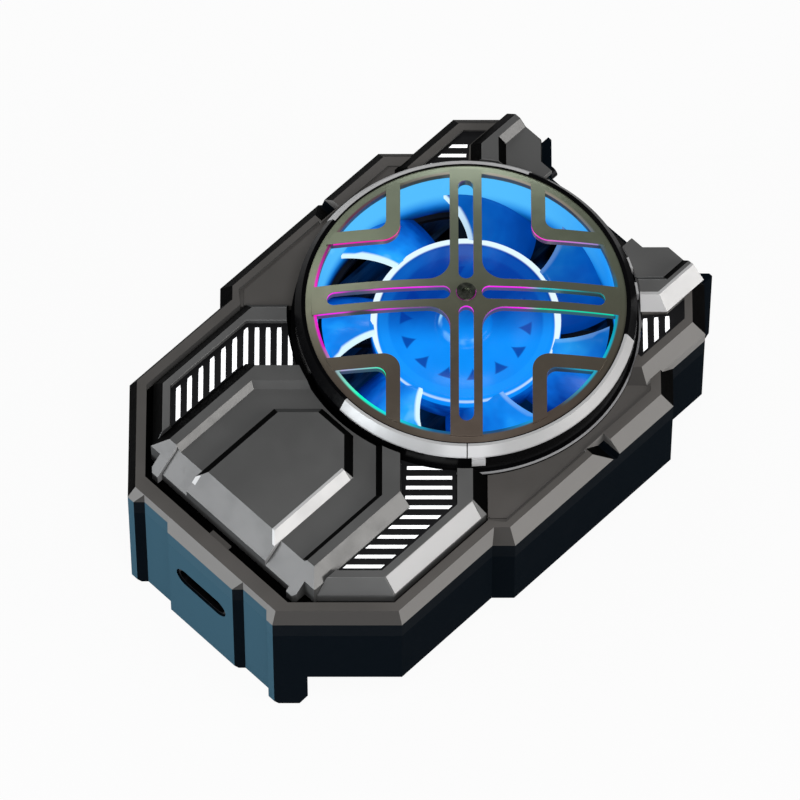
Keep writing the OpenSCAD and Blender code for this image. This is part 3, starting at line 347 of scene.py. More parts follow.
def mouldedPlastic(name, own):
    s = {**plasticDefaults, **own}
    material, t, shader, place = startMaterial(name)
    grain = placeGrain(t, place, s["grain"])
    colour = t.blend(grain["Drift"], s["dark"], s["light"])
    gloss = t.fit(grain["Marks"], 0, 1, *s["rough"], False)
    shader.inputs["Metallic"].default_value = s["metal"]
    if "toneShadeAndHighlights" in s:
        colour, matt, black = toneShadeAndHighlights(t, place, colour, s, toneShadeAndHighlightPaint)
        gloss = t.calc("ADD", gloss, t.times(matt, s["mattGain"]), clamp=True)
        # The painted-shade black is made metallic, so that it hardly reflects
        t.join(black, shader.inputs["Metallic"])
    elif "side" in s:
        colour = facingLightAndShade(t, colour, s)
    t.join(colour, shader.inputs["Base Color"])
    t.join(gloss, shader.inputs["Roughness"])
    t.bump(shader, grain["Grain"], s["bump"], s["depth"])
    shader.inputs["Specular IOR Level"].default_value = s["specular"]
    return material


# Walls below the rim are near-black; "end" is a lighter steel blue on the end with the socket, a painted
# highlight; "side" and "corner" are painted light and painted shade on sloping faces
wallShadesAndLight = {"wall": (0.0015, 0.0035, 0.006), "end": (0.036, 0.086, 0.122),
             "side": (0.185, 0.18, 0.175), "corner": (0.055, 0.052, 0.05)}
plastics = {
    "topShell": {"dark": (0.077, 0.073, 0.069), "light": (0.096, 0.090, 0.086), "rough": (0.32, 0.40),
                 "specular": 0.06, "bump": 0.2, "toneShadeAndHighlights": "walls", "wallTop": 0.01505, "pocketTop": 0.0157,
                 **wallShadesAndLight},
    "bottomShell": {"dark": (0.004, 0.008, 0.012), "light": (0.005, 0.010, 0.015), "rough": (0.42, 0.52),
                    "specular": 0.03, "toneShadeAndHighlights": "walls", "wallTop": 1.0, "pocketTop": -1.0, **wallShadesAndLight},
    # On the shield and the frames, "silver" is the colour of the painted highlights on the cap's nose and on
    # the horn's facet
    "shieldPlastic": {"dark": (0.063, 0.063, 0.063), "light": (0.080, 0.080, 0.080), "rough": (0.30, 0.38),
                      "bump": 0.2, "toneShadeAndHighlights": "nose", "silver": (0.45, 0.45, 0.455)},
    "framePlastic": {"dark": (0.078, 0.078, 0.078), "light": (0.096, 0.096, 0.096), "rough": (0.28, 0.36),
                     "bump": 0.2, "toneShadeAndHighlights": "facet", "silver": (0.42, 0.42, 0.425)},
    # On silver, "side" is a little darker, a painted shade, and "corner" is a painted highlight, by the way a
    # sloping face faces
    "silverPaint": {"dark": (0.41, 0.41, 0.415), "light": (0.47, 0.47, 0.475), "rough": (0.36, 0.44),
                    "metal": 0.15, "bump": 0.1, "side": (0.42, 0.42, 0.425), "corner": (0.62, 0.62, 0.63)},
    "ventBlack": {"dark": (0.004, 0.004, 0.005), "light": (0.008, 0.008, 0.009), "rough": (0.5, 0.65),
                  "specular": 0.15},
    "rubberBlack": {"dark": (0.012, 0.012, 0.012), "light": (0.022, 0.022, 0.022), "rough": (0.7, 0.85),
                    "bump": 0.5, "depth": 0.00005},
    "boardGreen": {"dark": (0.008, 0.07, 0.03), "light": (0.012, 0.10, 0.045), "rough": (0.25, 0.35),
                   "bump": 0.1},
    "ceramicWhite": {"dark": (0.72, 0.72, 0.69), "light": (0.82, 0.82, 0.80), "rough": (0.5, 0.6),
                     "bump": 0.2},
    "padGrey": {"dark": (0.20, 0.21, 0.23), "light": (0.27, 0.28, 0.30), "rough": (0.6, 0.75), "bump": 0.4},
    "magnetDark": {"dark": (0.04, 0.04, 0.045), "light": (0.07, 0.07, 0.075), "rough": (0.4, 0.55),
                   "metal": 0.8},
    "bronze": {"dark": (0.35, 0.19, 0.08), "light": (0.48, 0.28, 0.12), "rough": (0.35, 0.5), "metal": 1.0},
    "coatedCore": {"dark": (0.05, 0.12, 0.07), "light": (0.08, 0.18, 0.10), "rough": (0.4, 0.5)},
}
made = {name: mouldedPlastic(name, s) for name, s in plastics.items()}


# Turned or brushed metal: streaks drawn out along one axis; "lit" is the lamps' light that falls in patches
brushing = {"detail": 4, "rough": 0.65, "shadeBand": (0.3, 0.7), "glossBand": (0.2, 0.8), "bump": 0.15,
            "depth": 0.00002, "patches": {"size": 140, "detail": 2}, "patchBand": (0.35, 0.65)}
metals = {
    "coldMetal": {"stretch": (1, 14, 1), "size": 900, "rough": (0.25, 0.42),
                  "dark": (0.60, 0.61, 0.63), "light": (0.78, 0.79, 0.81)},
    "sinkMetal": {"stretch": (1, 8, 8), "size": 500, "rough": (0.35, 0.5),
                  "dark": (0.010, 0.010, 0.012), "light": (0.025, 0.026, 0.03), "lit": (0.0, 0.010, 0.045)},
    "steel": {"stretch": (1, 1, 10), "size": 1500, "rough": (0.2, 0.35),
              "dark": (0.42, 0.42, 0.44), "light": (0.60, 0.60, 0.62)},
    "blackSteel": {"stretch": (1, 10, 1), "size": 900, "rough": (0.4, 0.5),
                   "dark": (0.006, 0.006, 0.007), "light": (0.014, 0.014, 0.016)},
    "darkSteel": {"stretch": (1, 1, 10), "size": 1500, "rough": (0.18, 0.28),
                  "dark": (0.10, 0.115, 0.09), "light": (0.24, 0.25, 0.21)},
}


def brushedMetal(name, s, b):
    material, t, shader, place = startMaterial(name)
    streaks = t.noise(t.stretch(place, s["stretch"]), s["size"], b["detail"], b["rough"])
    t.join(t.blend(t.fit(streaks, *b["shadeBand"]), s["dark"], s["light"]), shader.inputs["Base Color"])
    t.join(t.fit(streaks, *b["glossBand"], *s["rough"], False), shader.inputs["Roughness"])
    t.bump(shader, streaks, b["bump"], b["depth"])
    shader.inputs["Metallic"].default_value = 1.0
    if "lit" in s:
        patches = t.fit(t.noise(place, **b["patches"]), *b["patchBand"])
        t.join(t.blend(patches, (0, 0, 0), s["lit"]), shader.inputs["Emission Color"])
        shader.inputs["Emission Strength"].default_value = 1.0
    return material


made.update({name: brushedMetal(name, s, brushing) for name, s in metals.items()})


# Grille: gunmetal lacquer, with the coloured light of the fan caught on the walls below its face
grille = {"rise": 0.0027, "rimRadius": 0.0215, "top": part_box("fan_grille")[1][2],
          "olive": (0.20, 0.225, 0.16), "brown": (0.135, 0.105, 0.085), "turning": (-0.022, 0.016),
          "mottle": 0.12, "grain": 5200, "rough": (0.28, 0.34), "metal": 0.7, "bump": 0.2, "depth": 0.00002,
          "lineTop": (0.00003, 0.00008), "lineFoot": (0.00025, 0.0005), "footShare": 0.06,
          "patches": {"size": 110, "detail": 1}, "patchBand": (0.30, 0.5),
          "crossReach": (0.0075, 0.0105), "ringReach": (0.0198, 0.0199), "rimReach": (0.0203, 0.0206),
          "unlit": (0.01, 0.01, 0.01), "glow": 1.3}

# Colours of the light at the cross, and round the fan from the -X side by way of -Y, +X and +Y
crossHue = (0.85, 0.0, 0.75)
windowHues = [(0.0, (0.0, 0.75, 0.35)), (0.10, (0.0, 0.45, 0.9)), (0.22, (0.0, 0.25, 0.9)),
              (0.34, (0.0, 0.6, 0.25)), (0.42, (0.0, 0.35, 0.6)), (0.5, (0.85, 0.0, 0.45)),
              (0.6, (0.25, 0.02, 0.9)), (0.7, (0.75, 0.01, 0.04)), (0.78, (0.7, 0.0, 0.3)),
              (0.86, (0.85, 0.0, 0.7)), (0.94, (0.7, 0.0, 0.75)), (1.0, (0.0, 0.75, 0.35))]
# On the ring's wall, the pale beige stops at 0.5 and 0.62 are a painted highlight on the far side, not the
# fan's light
ringHues = [(0.0, (0.0, 0.75, 0.42)), (0.05, (0.0, 0.5, 0.6)), (0.09, (0.0, 0.08, 0.2)),
            (0.16, (0.0, 0.05, 0.15)), (0.21, (0.0, 0.3, 0.65)), (0.27, (0.0, 0.4, 0.6)),
            (0.33, (0.0, 0.3, 0.4)), (0.4, (0.0, 0.1, 0.2)), (0.5, (0.16, 0.14, 0.11)),
            (0.62, (0.30, 0.27, 0.22)), (0.7, (0.05, 0.05, 0.04)), (0.8, (0.1, 0.0, 0.05)),
            (0.87, (0.8, 0.0, 0.5)), (0.93, (0.5, 0.0, 0.4)), (1.0, (0.0, 0.8, 0.45))]


def domeDepth(t, place, s):
    # Depth below the dome's face, which is part of a sphere
    radius = (s["rimRadius"] ** 2 + s["rise"] ** 2) / (2 * s["rise"])
    centre = t.add("ShaderNodeVectorMath", operation="SUBTRACT")
    t.join(place, centre.inputs[0])
    centre.inputs[1].default_value = (0, 0, s["top"] - radius)
    length = t.add("ShaderNodeVectorMath", operation="LENGTH")
    t.join(centre.outputs[0], length.inputs[0])
    return t.calc("SUBTRACT", radius, length.outputs["Value"])


def grilleLacquer(name, s):
    material, t, shader, place = startMaterial(name)
    grain = placeGrain(t, place, s["grain"])
    x, y = t.parts(place)[:2]
    # Painted light and shade: the lacquer is painted a lighter olive at the far side and a darker brown at
    # the socket end
    litFarSide = t.fit(t.calc("ADD", x, y), *s["turning"])
    shade = t.calc("ADD", litFarSide, t.times(grain["Drift"], s["mottle"]), clamp=True)
    lacquer = t.blend(shade, s["brown"], s["olive"])
    t.join(t.fit(grain["Marks"], 0, 1, *s["rough"], False), shader.inputs["Roughness"])
    shader.inputs["Metallic"].default_value = s["metal"]
    t.bump(shader, grain["Grain"], s["bump"], s["depth"])
    depth = domeDepth(t, place, s)
    wall = t.times(t.fit(depth, *s["lineTop"]), t.fit(depth, *s["lineFoot"], 1, s["footShare"]))
    # Colour by the place round the fan
    turn = t.fit(t.calc("ARCTAN2", y, x), -math.pi, math.pi, 0, 1, False)
    reach = t.flatLength(x, y)
    hue = t.blend(t.fit(reach, *s["crossReach"]), crossHue, t.ramp(turn, windowHues))
    hue = t.blend(t.fit(reach, *s["ringReach"]), hue, t.ramp(turn, ringHues))
    patches = t.fit(t.noise(place, **s["patches"]), *s["patchBand"])
    mask = t.times(wall, t.fit(reach, *s["rimReach"], 1, 0), patches)
    t.join(t.blend(mask, lacquer, s["unlit"]), shader.inputs["Base Color"])
    t.join(t.blend(mask, (0, 0, 0), hue), shader.inputs["Emission Color"])
    shader.inputs["Emission Strength"].default_value = s["glow"]
    return material


made["grilleLacquer"] = grilleLacquer("grilleLacquer", grille)


# Milky guides that carry light into the vents
guide = {"clouds": {"size": 160, "detail": 2}, "cloudBand": (0.3, 0.7), "cloudLeast": 0.86,
         "dim": (0.5, 0.52, 0.55), "bright": (1.0, 1.0, 1.0), "glow": 0.85, "base": (0.8, 0.82, 0.85, 1),
         "rough": 0.4}


def litGuide(name, s):
    material, t, shader, place = startMaterial(name)
    cloud = t.fit(t.noise(place, **s["clouds"]), *s["cloudBand"], s["cloudLeast"], 1.0)
    t.join(t.blend(cloud, s["dim"], s["bright"]), shader.inputs["Emission Color"])
    shader.inputs["Emission Strength"].default_value = s["glow"]
    shader.inputs["Base Color"].default_value = s["base"]
    shader.inputs["Roughness"].default_value = s["rough"]
    return material


made["litGuide"] = litGuide("litGuide", guide)


# Blue light of the fan: brightest under the collar's lip and on the hub's rim, deep blue low down
fanLight = {"drawn": (1, 1, 2.4), "wisps": {"size": 120, "detail": 3, "rough": 0.62},
            "wispBand": (0.25, 0.75), "wispGain": (-0.16, 0.2), "heightGain": 0.78}
lightHues = [(0.0, (0.0, 0.005, 0.04)), (0.25, (0.0, 0.03, 0.22)), (0.5, (0.002, 0.12, 0.56)),
             (0.75, (0.005, 0.24, 0.82)), (0.92, (0.02, 0.38, 0.95)), (1.0, (0.16, 0.56, 1.0))]


def makeGlowGroup(s):
    group = bpy.data.node_groups.new("fanLight", "ShaderNodeTree")
    addSockets(group.interface, "INPUT", "Vector", ["Vector"])
    addSockets(group.interface, "INPUT", "Float", ["Low", "High"])
    addSockets(group.interface, "OUTPUT", "Color", ["Colour"])
    addSockets(group.interface, "OUTPUT", "Float", ["Reach", "Height"])
    t = Tree(group)
    into, out = t.add("NodeGroupInput"), t.add("NodeGroupOutput")
    x, y, z = t.parts(into.outputs[0])
    height = t.add("ShaderNodeMapRange")
    t.join(z, height.inputs[0])
    t.join(into.outputs[1], height.inputs[1])
    t.join(into.outputs[2], height.inputs[2])
    # Wisps are drawn flat, as light is in clear plastic
    wisps = t.noise(t.stretch(into.outputs[0], s["drawn"]), **s["wisps"])
    level = t.calc("ADD", t.times(height.outputs[0], s["heightGain"]),
                   t.fit(wisps, *s["wispBand"], *s["wispGain"]), clamp=True)
    t.join(t.ramp(level, lightHues), out.inputs[0])
    t.join(t.flatLength(x, y), out.inputs[1])
    t.join(height.outputs[0], out.inputs[2])
    return group


glowGroup = makeGlowGroup(fanLight)


def placeGlow(t, place, low, high):
    glow = t.add("ShaderNodeGroup", node_tree=glowGroup)
    t.join(place, glow.inputs[0])
    glow.inputs[1].default_value = low
    glow.inputs[2].default_value = high
    return glow.outputs


# Rotor: sizes of the blades and of the hub that they stand on
rotor = {"blades": 7, "hubRadius": 0.0128, "tipRadius": 0.0193, "bladeThick": 0.0007, "sweep": 9.0,
         "turn": 25.5, "pitchRoot": 31.0, "pitchTip": 20.0, "chordRoot": 0.0088, "chordTip": 0.0138,
         "edgeWidth": 0.00055, "sunk": 0.0004, "camber": 0.10, "rise": 0.0022, "sweepCurve": 1.3,
         "stepCurve": 1.5, "rings": 10, "steps": 16, "low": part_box("impeller")[0][2],
         "hubTop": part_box("fan_shaft")[1][2] + 0.00065, "bossRadius": 0.0034}

# Clear blue plastic with light inside: its body, then the blades' and the hub's own light
clearBody = {"size": 130, "detail": 3, "dark": (0.0, 0.01, 0.08), "light": (0.0, 0.03, 0.15)}
bladeLight = {"cloudRough": 0.6, "rough": 0.22, "specular": 0.2, "margin": 0.0004,
              "edgeBand": (-0.012, 0.006), "edgeLeast": 0.12, "edgeHue": (0.70, 0.93, 1.0),
              "deepBand": (0.004, 0.011), "deepShare": 0.75, "deepHue": (0.0, 0.04, 0.24)}
hubLight = {"cloudRough": 0.5, "rough": 0.26, "specular": 0.12, "margin": 0.0006,
            "faceDepth": (0.0004, 0.0002), "plateDepth": (0.0016, 0.0013),
            "diagonal": 1.414, "rimBand": (-0.7, 0.1), "rimWidth": (0.00035, 0.0010), "rimSoft": 0.0002,
            "rimFade": (-0.95, -0.25), "rimLeast": 0.55, "rimHue": (0.80, 0.96, 1.0),
            "bandInner": (0.0026, 0.0022), "bandOuter": (0.0013, 0.0010), "bandShare": 0.3,
            "bandFade": (-0.2, 0.5), "bandLeast": 0.25, "bandHue": (0.012, 0.34, 0.98),
            "drawn": (0.5, 2.0, 1.0), "drawnTurn": -20, "drawnNoise": {"size": 150, "detail": 3},
            "drawnBand": (0.3, 0.6), "drawnLeast": 0.75,
            "deepFade": (-0.3, 0.3), "deepHue": (0.0, 0.035, 0.27),
            "paleFade": (-0.25, 0.35), "paleShare": 0.75, "paleHue": (0.004, 0.30, 0.98),
            "windows": 14, "windowReach": 0.0079, "windowInner": 0.0008, "windowTurn": 0.21,
            "windowSlope": 0.55, "windowSoft": (-0.00015, 0.0002), "windowEnd": (0.0016, 0.0019),
            "windowShare": 0.85, "windowHue": (0.0, 0.025, 0.25),
            "bossSoft": (0.0001, 0.0004), "bossShare": 0.8, "bossHue": (0.35, 0.75, 1.0),
            "flecks": {"size": 240, "detail": 2}, "fleckBand": (0.45, 0.6)}


def clearPlastic(t, shader, place, colour, g):
    cloud = t.noise(place, clearBody["size"], clearBody["detail"], g["cloudRough"])
    t.join(t.blend(cloud, clearBody["dark"], clearBody["light"]), shader.inputs["Base Color"])
    t.join(colour, shader.inputs["Emission Color"])
    shader.inputs["Emission Strength"].default_value = 1.0
    shader.inputs["Roughness"].default_value = g["rough"]
    shader.inputs["Specular IOR Level"].default_value = g["specular"]


def rotorBlue(name, s, g):
    material, t, shader, place = startMaterial(name)
    glow = placeGlow(t, place, s["low"] - g["margin"], s["hubTop"] + g["margin"])
    edge = t.add("ShaderNodeAttribute", attribute_name="edge")
    x, y = t.parts(place)[:2]
    # Painted shade: the blades' light is painted a deeper blue towards the far end
    colour = t.blend(t.fit(x, *g["deepBand"], 0, g["deepShare"]), glow["Colour"], g["deepHue"])
    # The light catches the blades' edges most on the +Y side
    lit = t.times(edge.outputs["Fac"], t.fit(t.calc("SUBTRACT", y, x), *g["edgeBand"], g["edgeLeast"], 1.0))
    clearPlastic(t, shader, place, t.blend(lit, colour, g["edgeHue"]), g)
    return material


def inFrom(line, depths):
    return line - depths[0], line - depths[1]


def windowMask(t, x, y, reach, g):
    # The angle is folded into one sector, and each window is a small wedge
    sector = math.tau / g["windows"]
    angle = t.calc("ADD", t.calc("ARCTAN2", y, x), math.tau + g["windowTurn"])
    folded = t.calc("SUBTRACT", t.calc("MODULO", angle, sector), sector / 2)
    across = t.times(t.calc("ABSOLUTE", folded), g["windowReach"])
    depth = t.calc("SUBTRACT", reach, g["windowReach"] - g["windowInner"])
    wedge = t.calc("SUBTRACT", t.times(depth, g["windowSlope"]), across)
    return t.times(t.fit(wedge, *g["windowSoft"]), t.fit(depth, *g["windowEnd"], 1, 0))


def hubBlue(name, s, g):
    # Face of the hub: bright rim, paler band inside it, ring of small dark windows, ring round the boss
    material, t, shader, place = startMaterial(name)
    glow = placeGlow(t, place, s["low"], s["hubTop"] + g["margin"])
    reach = glow["Reach"]
    x, y, z = t.parts(place)
    face = t.fit(z, *inFrom(s["hubTop"], g["faceDepth"]))
    plate = t.fit(z, *inFrom(s["hubTop"], g["plateDepth"]))
    # Rim light is strong on the side away from the socket and fades towards it
    side = t.calc("DIVIDE", t.calc("ADD", x, y), s["hubRadius"] * g["diagonal"])
    width = t.fit(side, *g["rimBand"], *g["rimWidth"])
    rim = t.times(t.past(t.calc("ADD", reach, width), s["hubRadius"], g["rimSoft"]),
                  t.fit(side, *g["rimFade"], g["rimLeast"], 1.0))
    band = t.times(t.fit(reach, *inFrom(s["hubRadius"], g["bandInner"])),
                   t.fit(reach, *inFrom(s["hubRadius"], g["bandOuter"]), g["bandShare"], 0),
                   t.fit(side, *g["bandFade"], 1, g["bandLeast"]))
    # Painted light and shade: the half towards the socket is painted paler, and long wisps of darker blue are
    # painted across the half away from it
    drawn = t.noise(t.stretch(place, g["drawn"], g["drawnTurn"]), **g["drawnNoise"])
    deep = t.times(t.fit(side, *g["deepFade"]), t.fit(drawn, *g["drawnBand"], g["drawnLeast"], 1.0), plate)
    pale = t.times(plate, t.fit(side, *g["paleFade"], g["paleShare"], 0))
    near, away = g["bossSoft"]
    bossRing = t.times(t.fit(reach, s["bossRadius"] - away, s["bossRadius"] - near),
                       t.fit(reach, s["bossRadius"] + near, s["bossRadius"] + away, g["bossShare"], 0),
                       t.fit(t.noise(place, **g["flecks"]), *g["fleckBand"]))
    colour = t.blend(pale, glow["Colour"], g["paleHue"])
    colour = t.blend(deep, colour, g["deepHue"])
    colour = t.blend(t.times(windowMask(t, x, y, reach, g), g["windowShare"]), colour, g["windowHue"])
    colour = t.blend(band, colour, g["bandHue"])
    colour = t.blend(bossRing, colour, g["bossHue"])
    colour = t.blend(t.times(rim, face), colour, g["rimHue"])
    clearPlastic(t, shader, place, colour, g)
    return material


# Collar: gloss black outside, with the lamps' blue light on the wall of its duct and a painted highlight, a
# pale line, round part of its flange
duct = {"grain": 4200, "dark": (0.0015, 0.0015, 0.0018), "light": (0.003, 0.003, 0.0034),
        "rough": (0.2, 0.28), "specular": 0.04,
        "wallRadius": 0.0212, "wallSoft": 0.0001, "wallLow": 0.0126, "wallHigh": 0.0196,
        "flangeHighlightReach": (0.02322, 0.0233), "flangeHighlightSide": (-0.016, -0.013), "flangeHighlightHeight": (0.01715, 0.01725),
        "flangeHighlightHue": (0.32, 0.32, 0.33), "sideX": 0.45, "sideY": 0.9,
        "midBand": (0.05, 0.5), "midShare": 0.75, "midHue": (0.008, 0.28, 0.92),
        "topBand": (0.25, 0.75), "topSide": (-0.004, 0.018), "topHue": (0.09, 0.52, 1.0)}


def ductLacquer(name, s):
    material, t, shader, place = startMaterial(name)
    grain = placeGrain(t, place, s["grain"])
    x, y, z = t.parts(place)
    black = t.blend(grain["Drift"], s["dark"], s["light"])
    t.join(t.fit(grain["Marks"], 0, 1, *s["rough"], False), shader.inputs["Roughness"])
    shader.inputs["Specular IOR Level"].default_value = s["specular"]
    glow = placeGlow(t, place, s["wallLow"], s["wallHigh"])
    reach, high = glow["Reach"], glow["Height"]
    inside = t.fit(reach, s["wallRadius"] - s["wallSoft"], s["wallRadius"] + s["wallSoft"], 1, 0)
    # Painted highlight: a pale line on the top edge of the flange, on the -Y side
    line = t.times(t.fit(reach, *s["flangeHighlightReach"]), t.fit(y, *s["flangeHighlightSide"], 1, 0), t.fit(z, *s["flangeHighlightHeight"]))
    t.join(t.blend(line, black, s["flangeHighlightHue"]), shader.inputs["Base Color"])
    # Palest high up, on the side away from the socket
    side = t.calc("ADD", t.times(x, s["sideX"]), t.times(y, s["sideY"]))
    colour = t.blend(t.fit(high, *s["midBand"], 0, s["midShare"]), glow["Colour"], s["midHue"])
    colour = t.blend(t.times(t.fit(high, *s["topBand"]), t.fit(side, *s["topSide"])), colour, s["topHue"])
    t.join(t.blend(inside, (0, 0, 0), colour), shader.inputs["Emission Color"])
    shader.inputs["Emission Strength"].default_value = 1.0
    return material


made["rotorBlue"] = rotorBlue("rotorBlue", rotor, bladeLight)
made["hubBlue"] = hubBlue("hubBlue", rotor, hubLight)
made["collarBlack"] = ductLacquer("collarBlack", duct)
made["litRing"] = ductLacquer("litRing", duct)
print("materials made:", len(made))


# Meshes
def newPiece(name, mesh):
    piece = bpy.data.objects.new(name, mesh)
    scene.collection.objects.link(piece)
    return piece


def finishMesh(bm, name, material):
    bmesh.ops.recalc_face_normals(bm, faces=bm.faces)
    mesh = bpy.data.meshes.new(name)
    bm.to_mesh(mesh)
    bm.free()
    mesh.materials.append(material)
    return mesh


# A copy of a rigid part with its mould-radiused edges; angles are in degrees
easing = {"weld": 3e-6, "flatAngle": 0.6, "smoothAngle": 8, "bendAngle": 25, "segments": 2}


def eased(nodeName, width, material):
    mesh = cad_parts[nodeName].data.copy()
    bm = bmesh.new()
    bm.from_mesh(mesh)
    bmesh.ops.remove_doubles(bm, verts=bm.verts, dist=easing["weld"])
    flat = math.radians(easing["flatAngle"])
    bmesh.ops.dissolve_limit(bm, angle_limit=flat, verts=bm.verts, edges=bm.edges)
    for f in bm.faces:
        f.smooth = True
    for e in bm.edges:
        e.smooth = e.calc_face_angle(0) < math.radians(easing["smoothAngle"])
    bm.to_mesh(mesh)
    bm.free()
    mesh.materials.clear()
    mesh.materials.append(material)
    piece = newPiece(nodeName + "_shell", mesh)
    bevel = piece.modifiers.new("edges", "BEVEL")
    bevel.width = width
    bevel.segments = easing["segments"]
    bevel.limit_method = "ANGLE"
    bevel.angle_limit = math.radians(easing["bendAngle"])
    bevel.harden_normals = True
    bevel.use_clamp_overlap = True
    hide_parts(nodeName)
    return piece


# Width of the eased edge, finish, slot
shells = {
    "upper_housing": (0.00016, "topShell", "top_shell"),
    "lower_housing": (0.00018, "bottomShell", "bottom_shell"),
    "shield_panel": (0.00014, "shieldPlastic", "shield"),
    "shield_cap": (0.00014, "shieldPlastic", "shield"),
    "vent_bezel_left": (0.00012, "framePlastic", "frame_plastic"),
    "vent_bezel_right": (0.00012, "framePlastic", "frame_plastic"),
    "horn_left": (0.00012, "framePlastic", "frame_plastic"),
    "horn_right": (0.00012, "framePlastic", "frame_plastic"),
    "fan_collar": (0.00010, "collarBlack", "collar_black"),
    "fan_grille": (0.00018, "grilleLacquer", "gunmetal"),
}
for nodeName, (width, finish, slotName) in shells.items():
    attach(eased(nodeName, width, made[finish]), "housing")
jawShell = eased("sliding_jaw", 0.0002, made["bottomShell"])
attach(jawShell, "jaw")
print("shells eased:", len(shells) + 1)


plainFinish = {
    "cap_accent": "silverPaint", "bezel_accent": "silverPaint", "horn_accent": "silverPaint",
    "vent_grille_left": "ventBlack", "vent_grille_right": "ventBlack",
    "light_guide_left": "litGuide", "light_guide_right": "litGuide",
    "far_grille_left": "ventBlack", "far_grille_right": "ventBlack",
    "far_light_left": "litGuide", "far_light_right": "litGuide",
    "collar_trim": "silverPaint", "collar_clips": "silverPaint", "grille_screw": "darkSteel",
    "magnet_ring": "magnetDark", "fan_shaft": "steel", "shaft_bearing": "bronze",
    "motor_stator": "coatedCore", "fan_frame": "ventBlack", "led_ring": "litRing",
    "heat_sink": "sinkMetal", "peltier_module": "ceramicWhite", "cold_plate": "coldMetal",
    "contact_pad": "padGrey", "clamp_screws": "steel", "circuit_board": "boardGreen",
    "usb_port": "blackSteel", "board_screws": "steel", "fixed_jaw_pad": "rubberBlack",
    "sliding_jaw_pad": "rubberBlack", "guide_rods": "blackSteel", "rod_bushes": "bronze",
    "housing_screws": "steel",
}
for nodeName, finish in plainFinish.items():
    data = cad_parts[nodeName].data
    data.materials.clear()
    data.materials.append(made[finish])
print("finishes given:", len(plainFinish))


# One blade, swept back and twisted, then repeated round the hub by Geometry Nodes
def bladeMesh(s):
    bm = bmesh.new()
    edge = bm.verts.layers.float.new("edge")
    rings, steps = s["rings"], s["steps"]
    root = s["hubRadius"] - s["sunk"]
    grid = []
    for i in range(rings + 1):
        k = i / rings
        r = root + (s["tipRadius"] - root) * k
        chord = s["chordRoot"] + (s["chordTip"] - s["chordRoot"]) * k
        pitch = math.radians(s["pitchRoot"] + (s["pitchTip"] - s["pitchRoot"]) * k)
        start = math.radians(s["turn"] + s["sweep"] * k ** s["sweepCurve"])
        row = []
        for j in range(steps + 1):
            u = 1 - (1 - j / steps) ** s["stepCurve"]
            along = (u - 0.5) * chord
            camber = s["camber"] * chord * (1 - (2 * u - 1) ** 2)
            a = start + along * math.cos(pitch) / r
            z = s["low"] + s["rise"] + along * math.sin(pitch) + camber * math.cos(pitch)
            v = bm.verts.new((r * math.cos(a), r * math.sin(a), z))
            v[edge] = 1.0 if (1 - u) * chord < s["edgeWidth"] else 0.0
            row.append(v)
        grid.append(row)
    for i in range(rings):
        for j in range(steps):
            face = bm.faces.new((grid[i][j], grid[i + 1][j], grid[i + 1][j + 1], grid[i][j + 1]))
            face.smooth = True
    return finishMesh(bm, "blade", made["rotorBlue"])


def roundTree():
    tree = bpy.data.node_groups.new("repeatRound", "GeometryNodeTree")
    tree.is_modifier = True
    addSockets(tree.interface, "INPUT", "Geometry", ["Geometry"])
    count = addSockets(tree.interface, "INPUT", "Int", ["Blades"])[0]
    addSockets(tree.interface, "OUTPUT", "Geometry", ["Geometry"])
    t = Tree(tree)
    into, out = t.add("NodeGroupInput"), t.add("NodeGroupOutput")
    points = t.add("GeometryNodePoints")
    t.join(into.outputs[1], points.inputs["Count"])
    index = t.add("GeometryNodeInputIndex").outputs[0]
    turn = t.add("ShaderNodeCombineXYZ")
    t.join(t.times(t.calc("DIVIDE", index, into.outputs[1]), math.tau), turn.inputs[2])
    copies = t.add("GeometryNodeInstanceOnPoints")
    t.join(points.outputs[0], copies.inputs["Points"])
    t.join(into.outputs[0], copies.inputs["Instance"])
    t.join(turn.outputs[0], copies.inputs["Rotation"])
    real = t.add("GeometryNodeRealizeInstances")
    t.join(copies.outputs[0], real.inputs[0])
    paint = t.add("GeometryNodeSetMaterial")
    paint.inputs["Material"].default_value = made["rotorBlue"]
    t.join(real.outputs[0], paint.inputs["Geometry"])
    t.join(paint.outputs[0], out.inputs[0])
    return tree, count.identifier


def bladeRing(s):
    tree, count = roundTree()
    source = newPiece("bladeSource", bladeMesh(s))
    modifier = source.modifiers.new("repeat", "NODES")
    modifier.node_group = tree
    modifier[count] = s["blades"]
    bpy.context.view_layer.update()
    plain = bpy.data.meshes.new_from_object(source.evaluated_get(bpy.context.evaluated_depsgraph_get()))
    bpy.data.objects.remove(source)
    piece = newPiece("fan_blades", plain)
    wall = piece.modifiers.new("wall", "SOLIDIFY")
    wall.thickness = s["bladeThick"]
    wall.offset = 0
    return piece


def lathe(profile, steps, name, material):
    # Turns a closed profile of (radius, height) pairs about the fan axis; a radius of 0 is one point
    bm = bmesh.new()
    angles = [math.tau * i / steps for i in range(steps)]
    rings = []
    for r, z in profile:
        if r == 0:
            rings.append([bm.verts.new((0, 0, z))] * steps)
        else:
            rings.append([bm.verts.new((r * math.cos(a), r * math.sin(a), z)) for a in angles])
    for a, b in zip(rings, rings[1:] + rings[:1]):
        for i in range(steps):
            j = (i + 1) % steps
            corners = []
            for v in (a[i], a[j], b[j], b[i]):
                if v not in corners:
                    corners.append(v)
            if len(corners) > 2:
                bm.faces.new(corners).smooth = True
    return newPiece(name, finishMesh(bm, name, material))


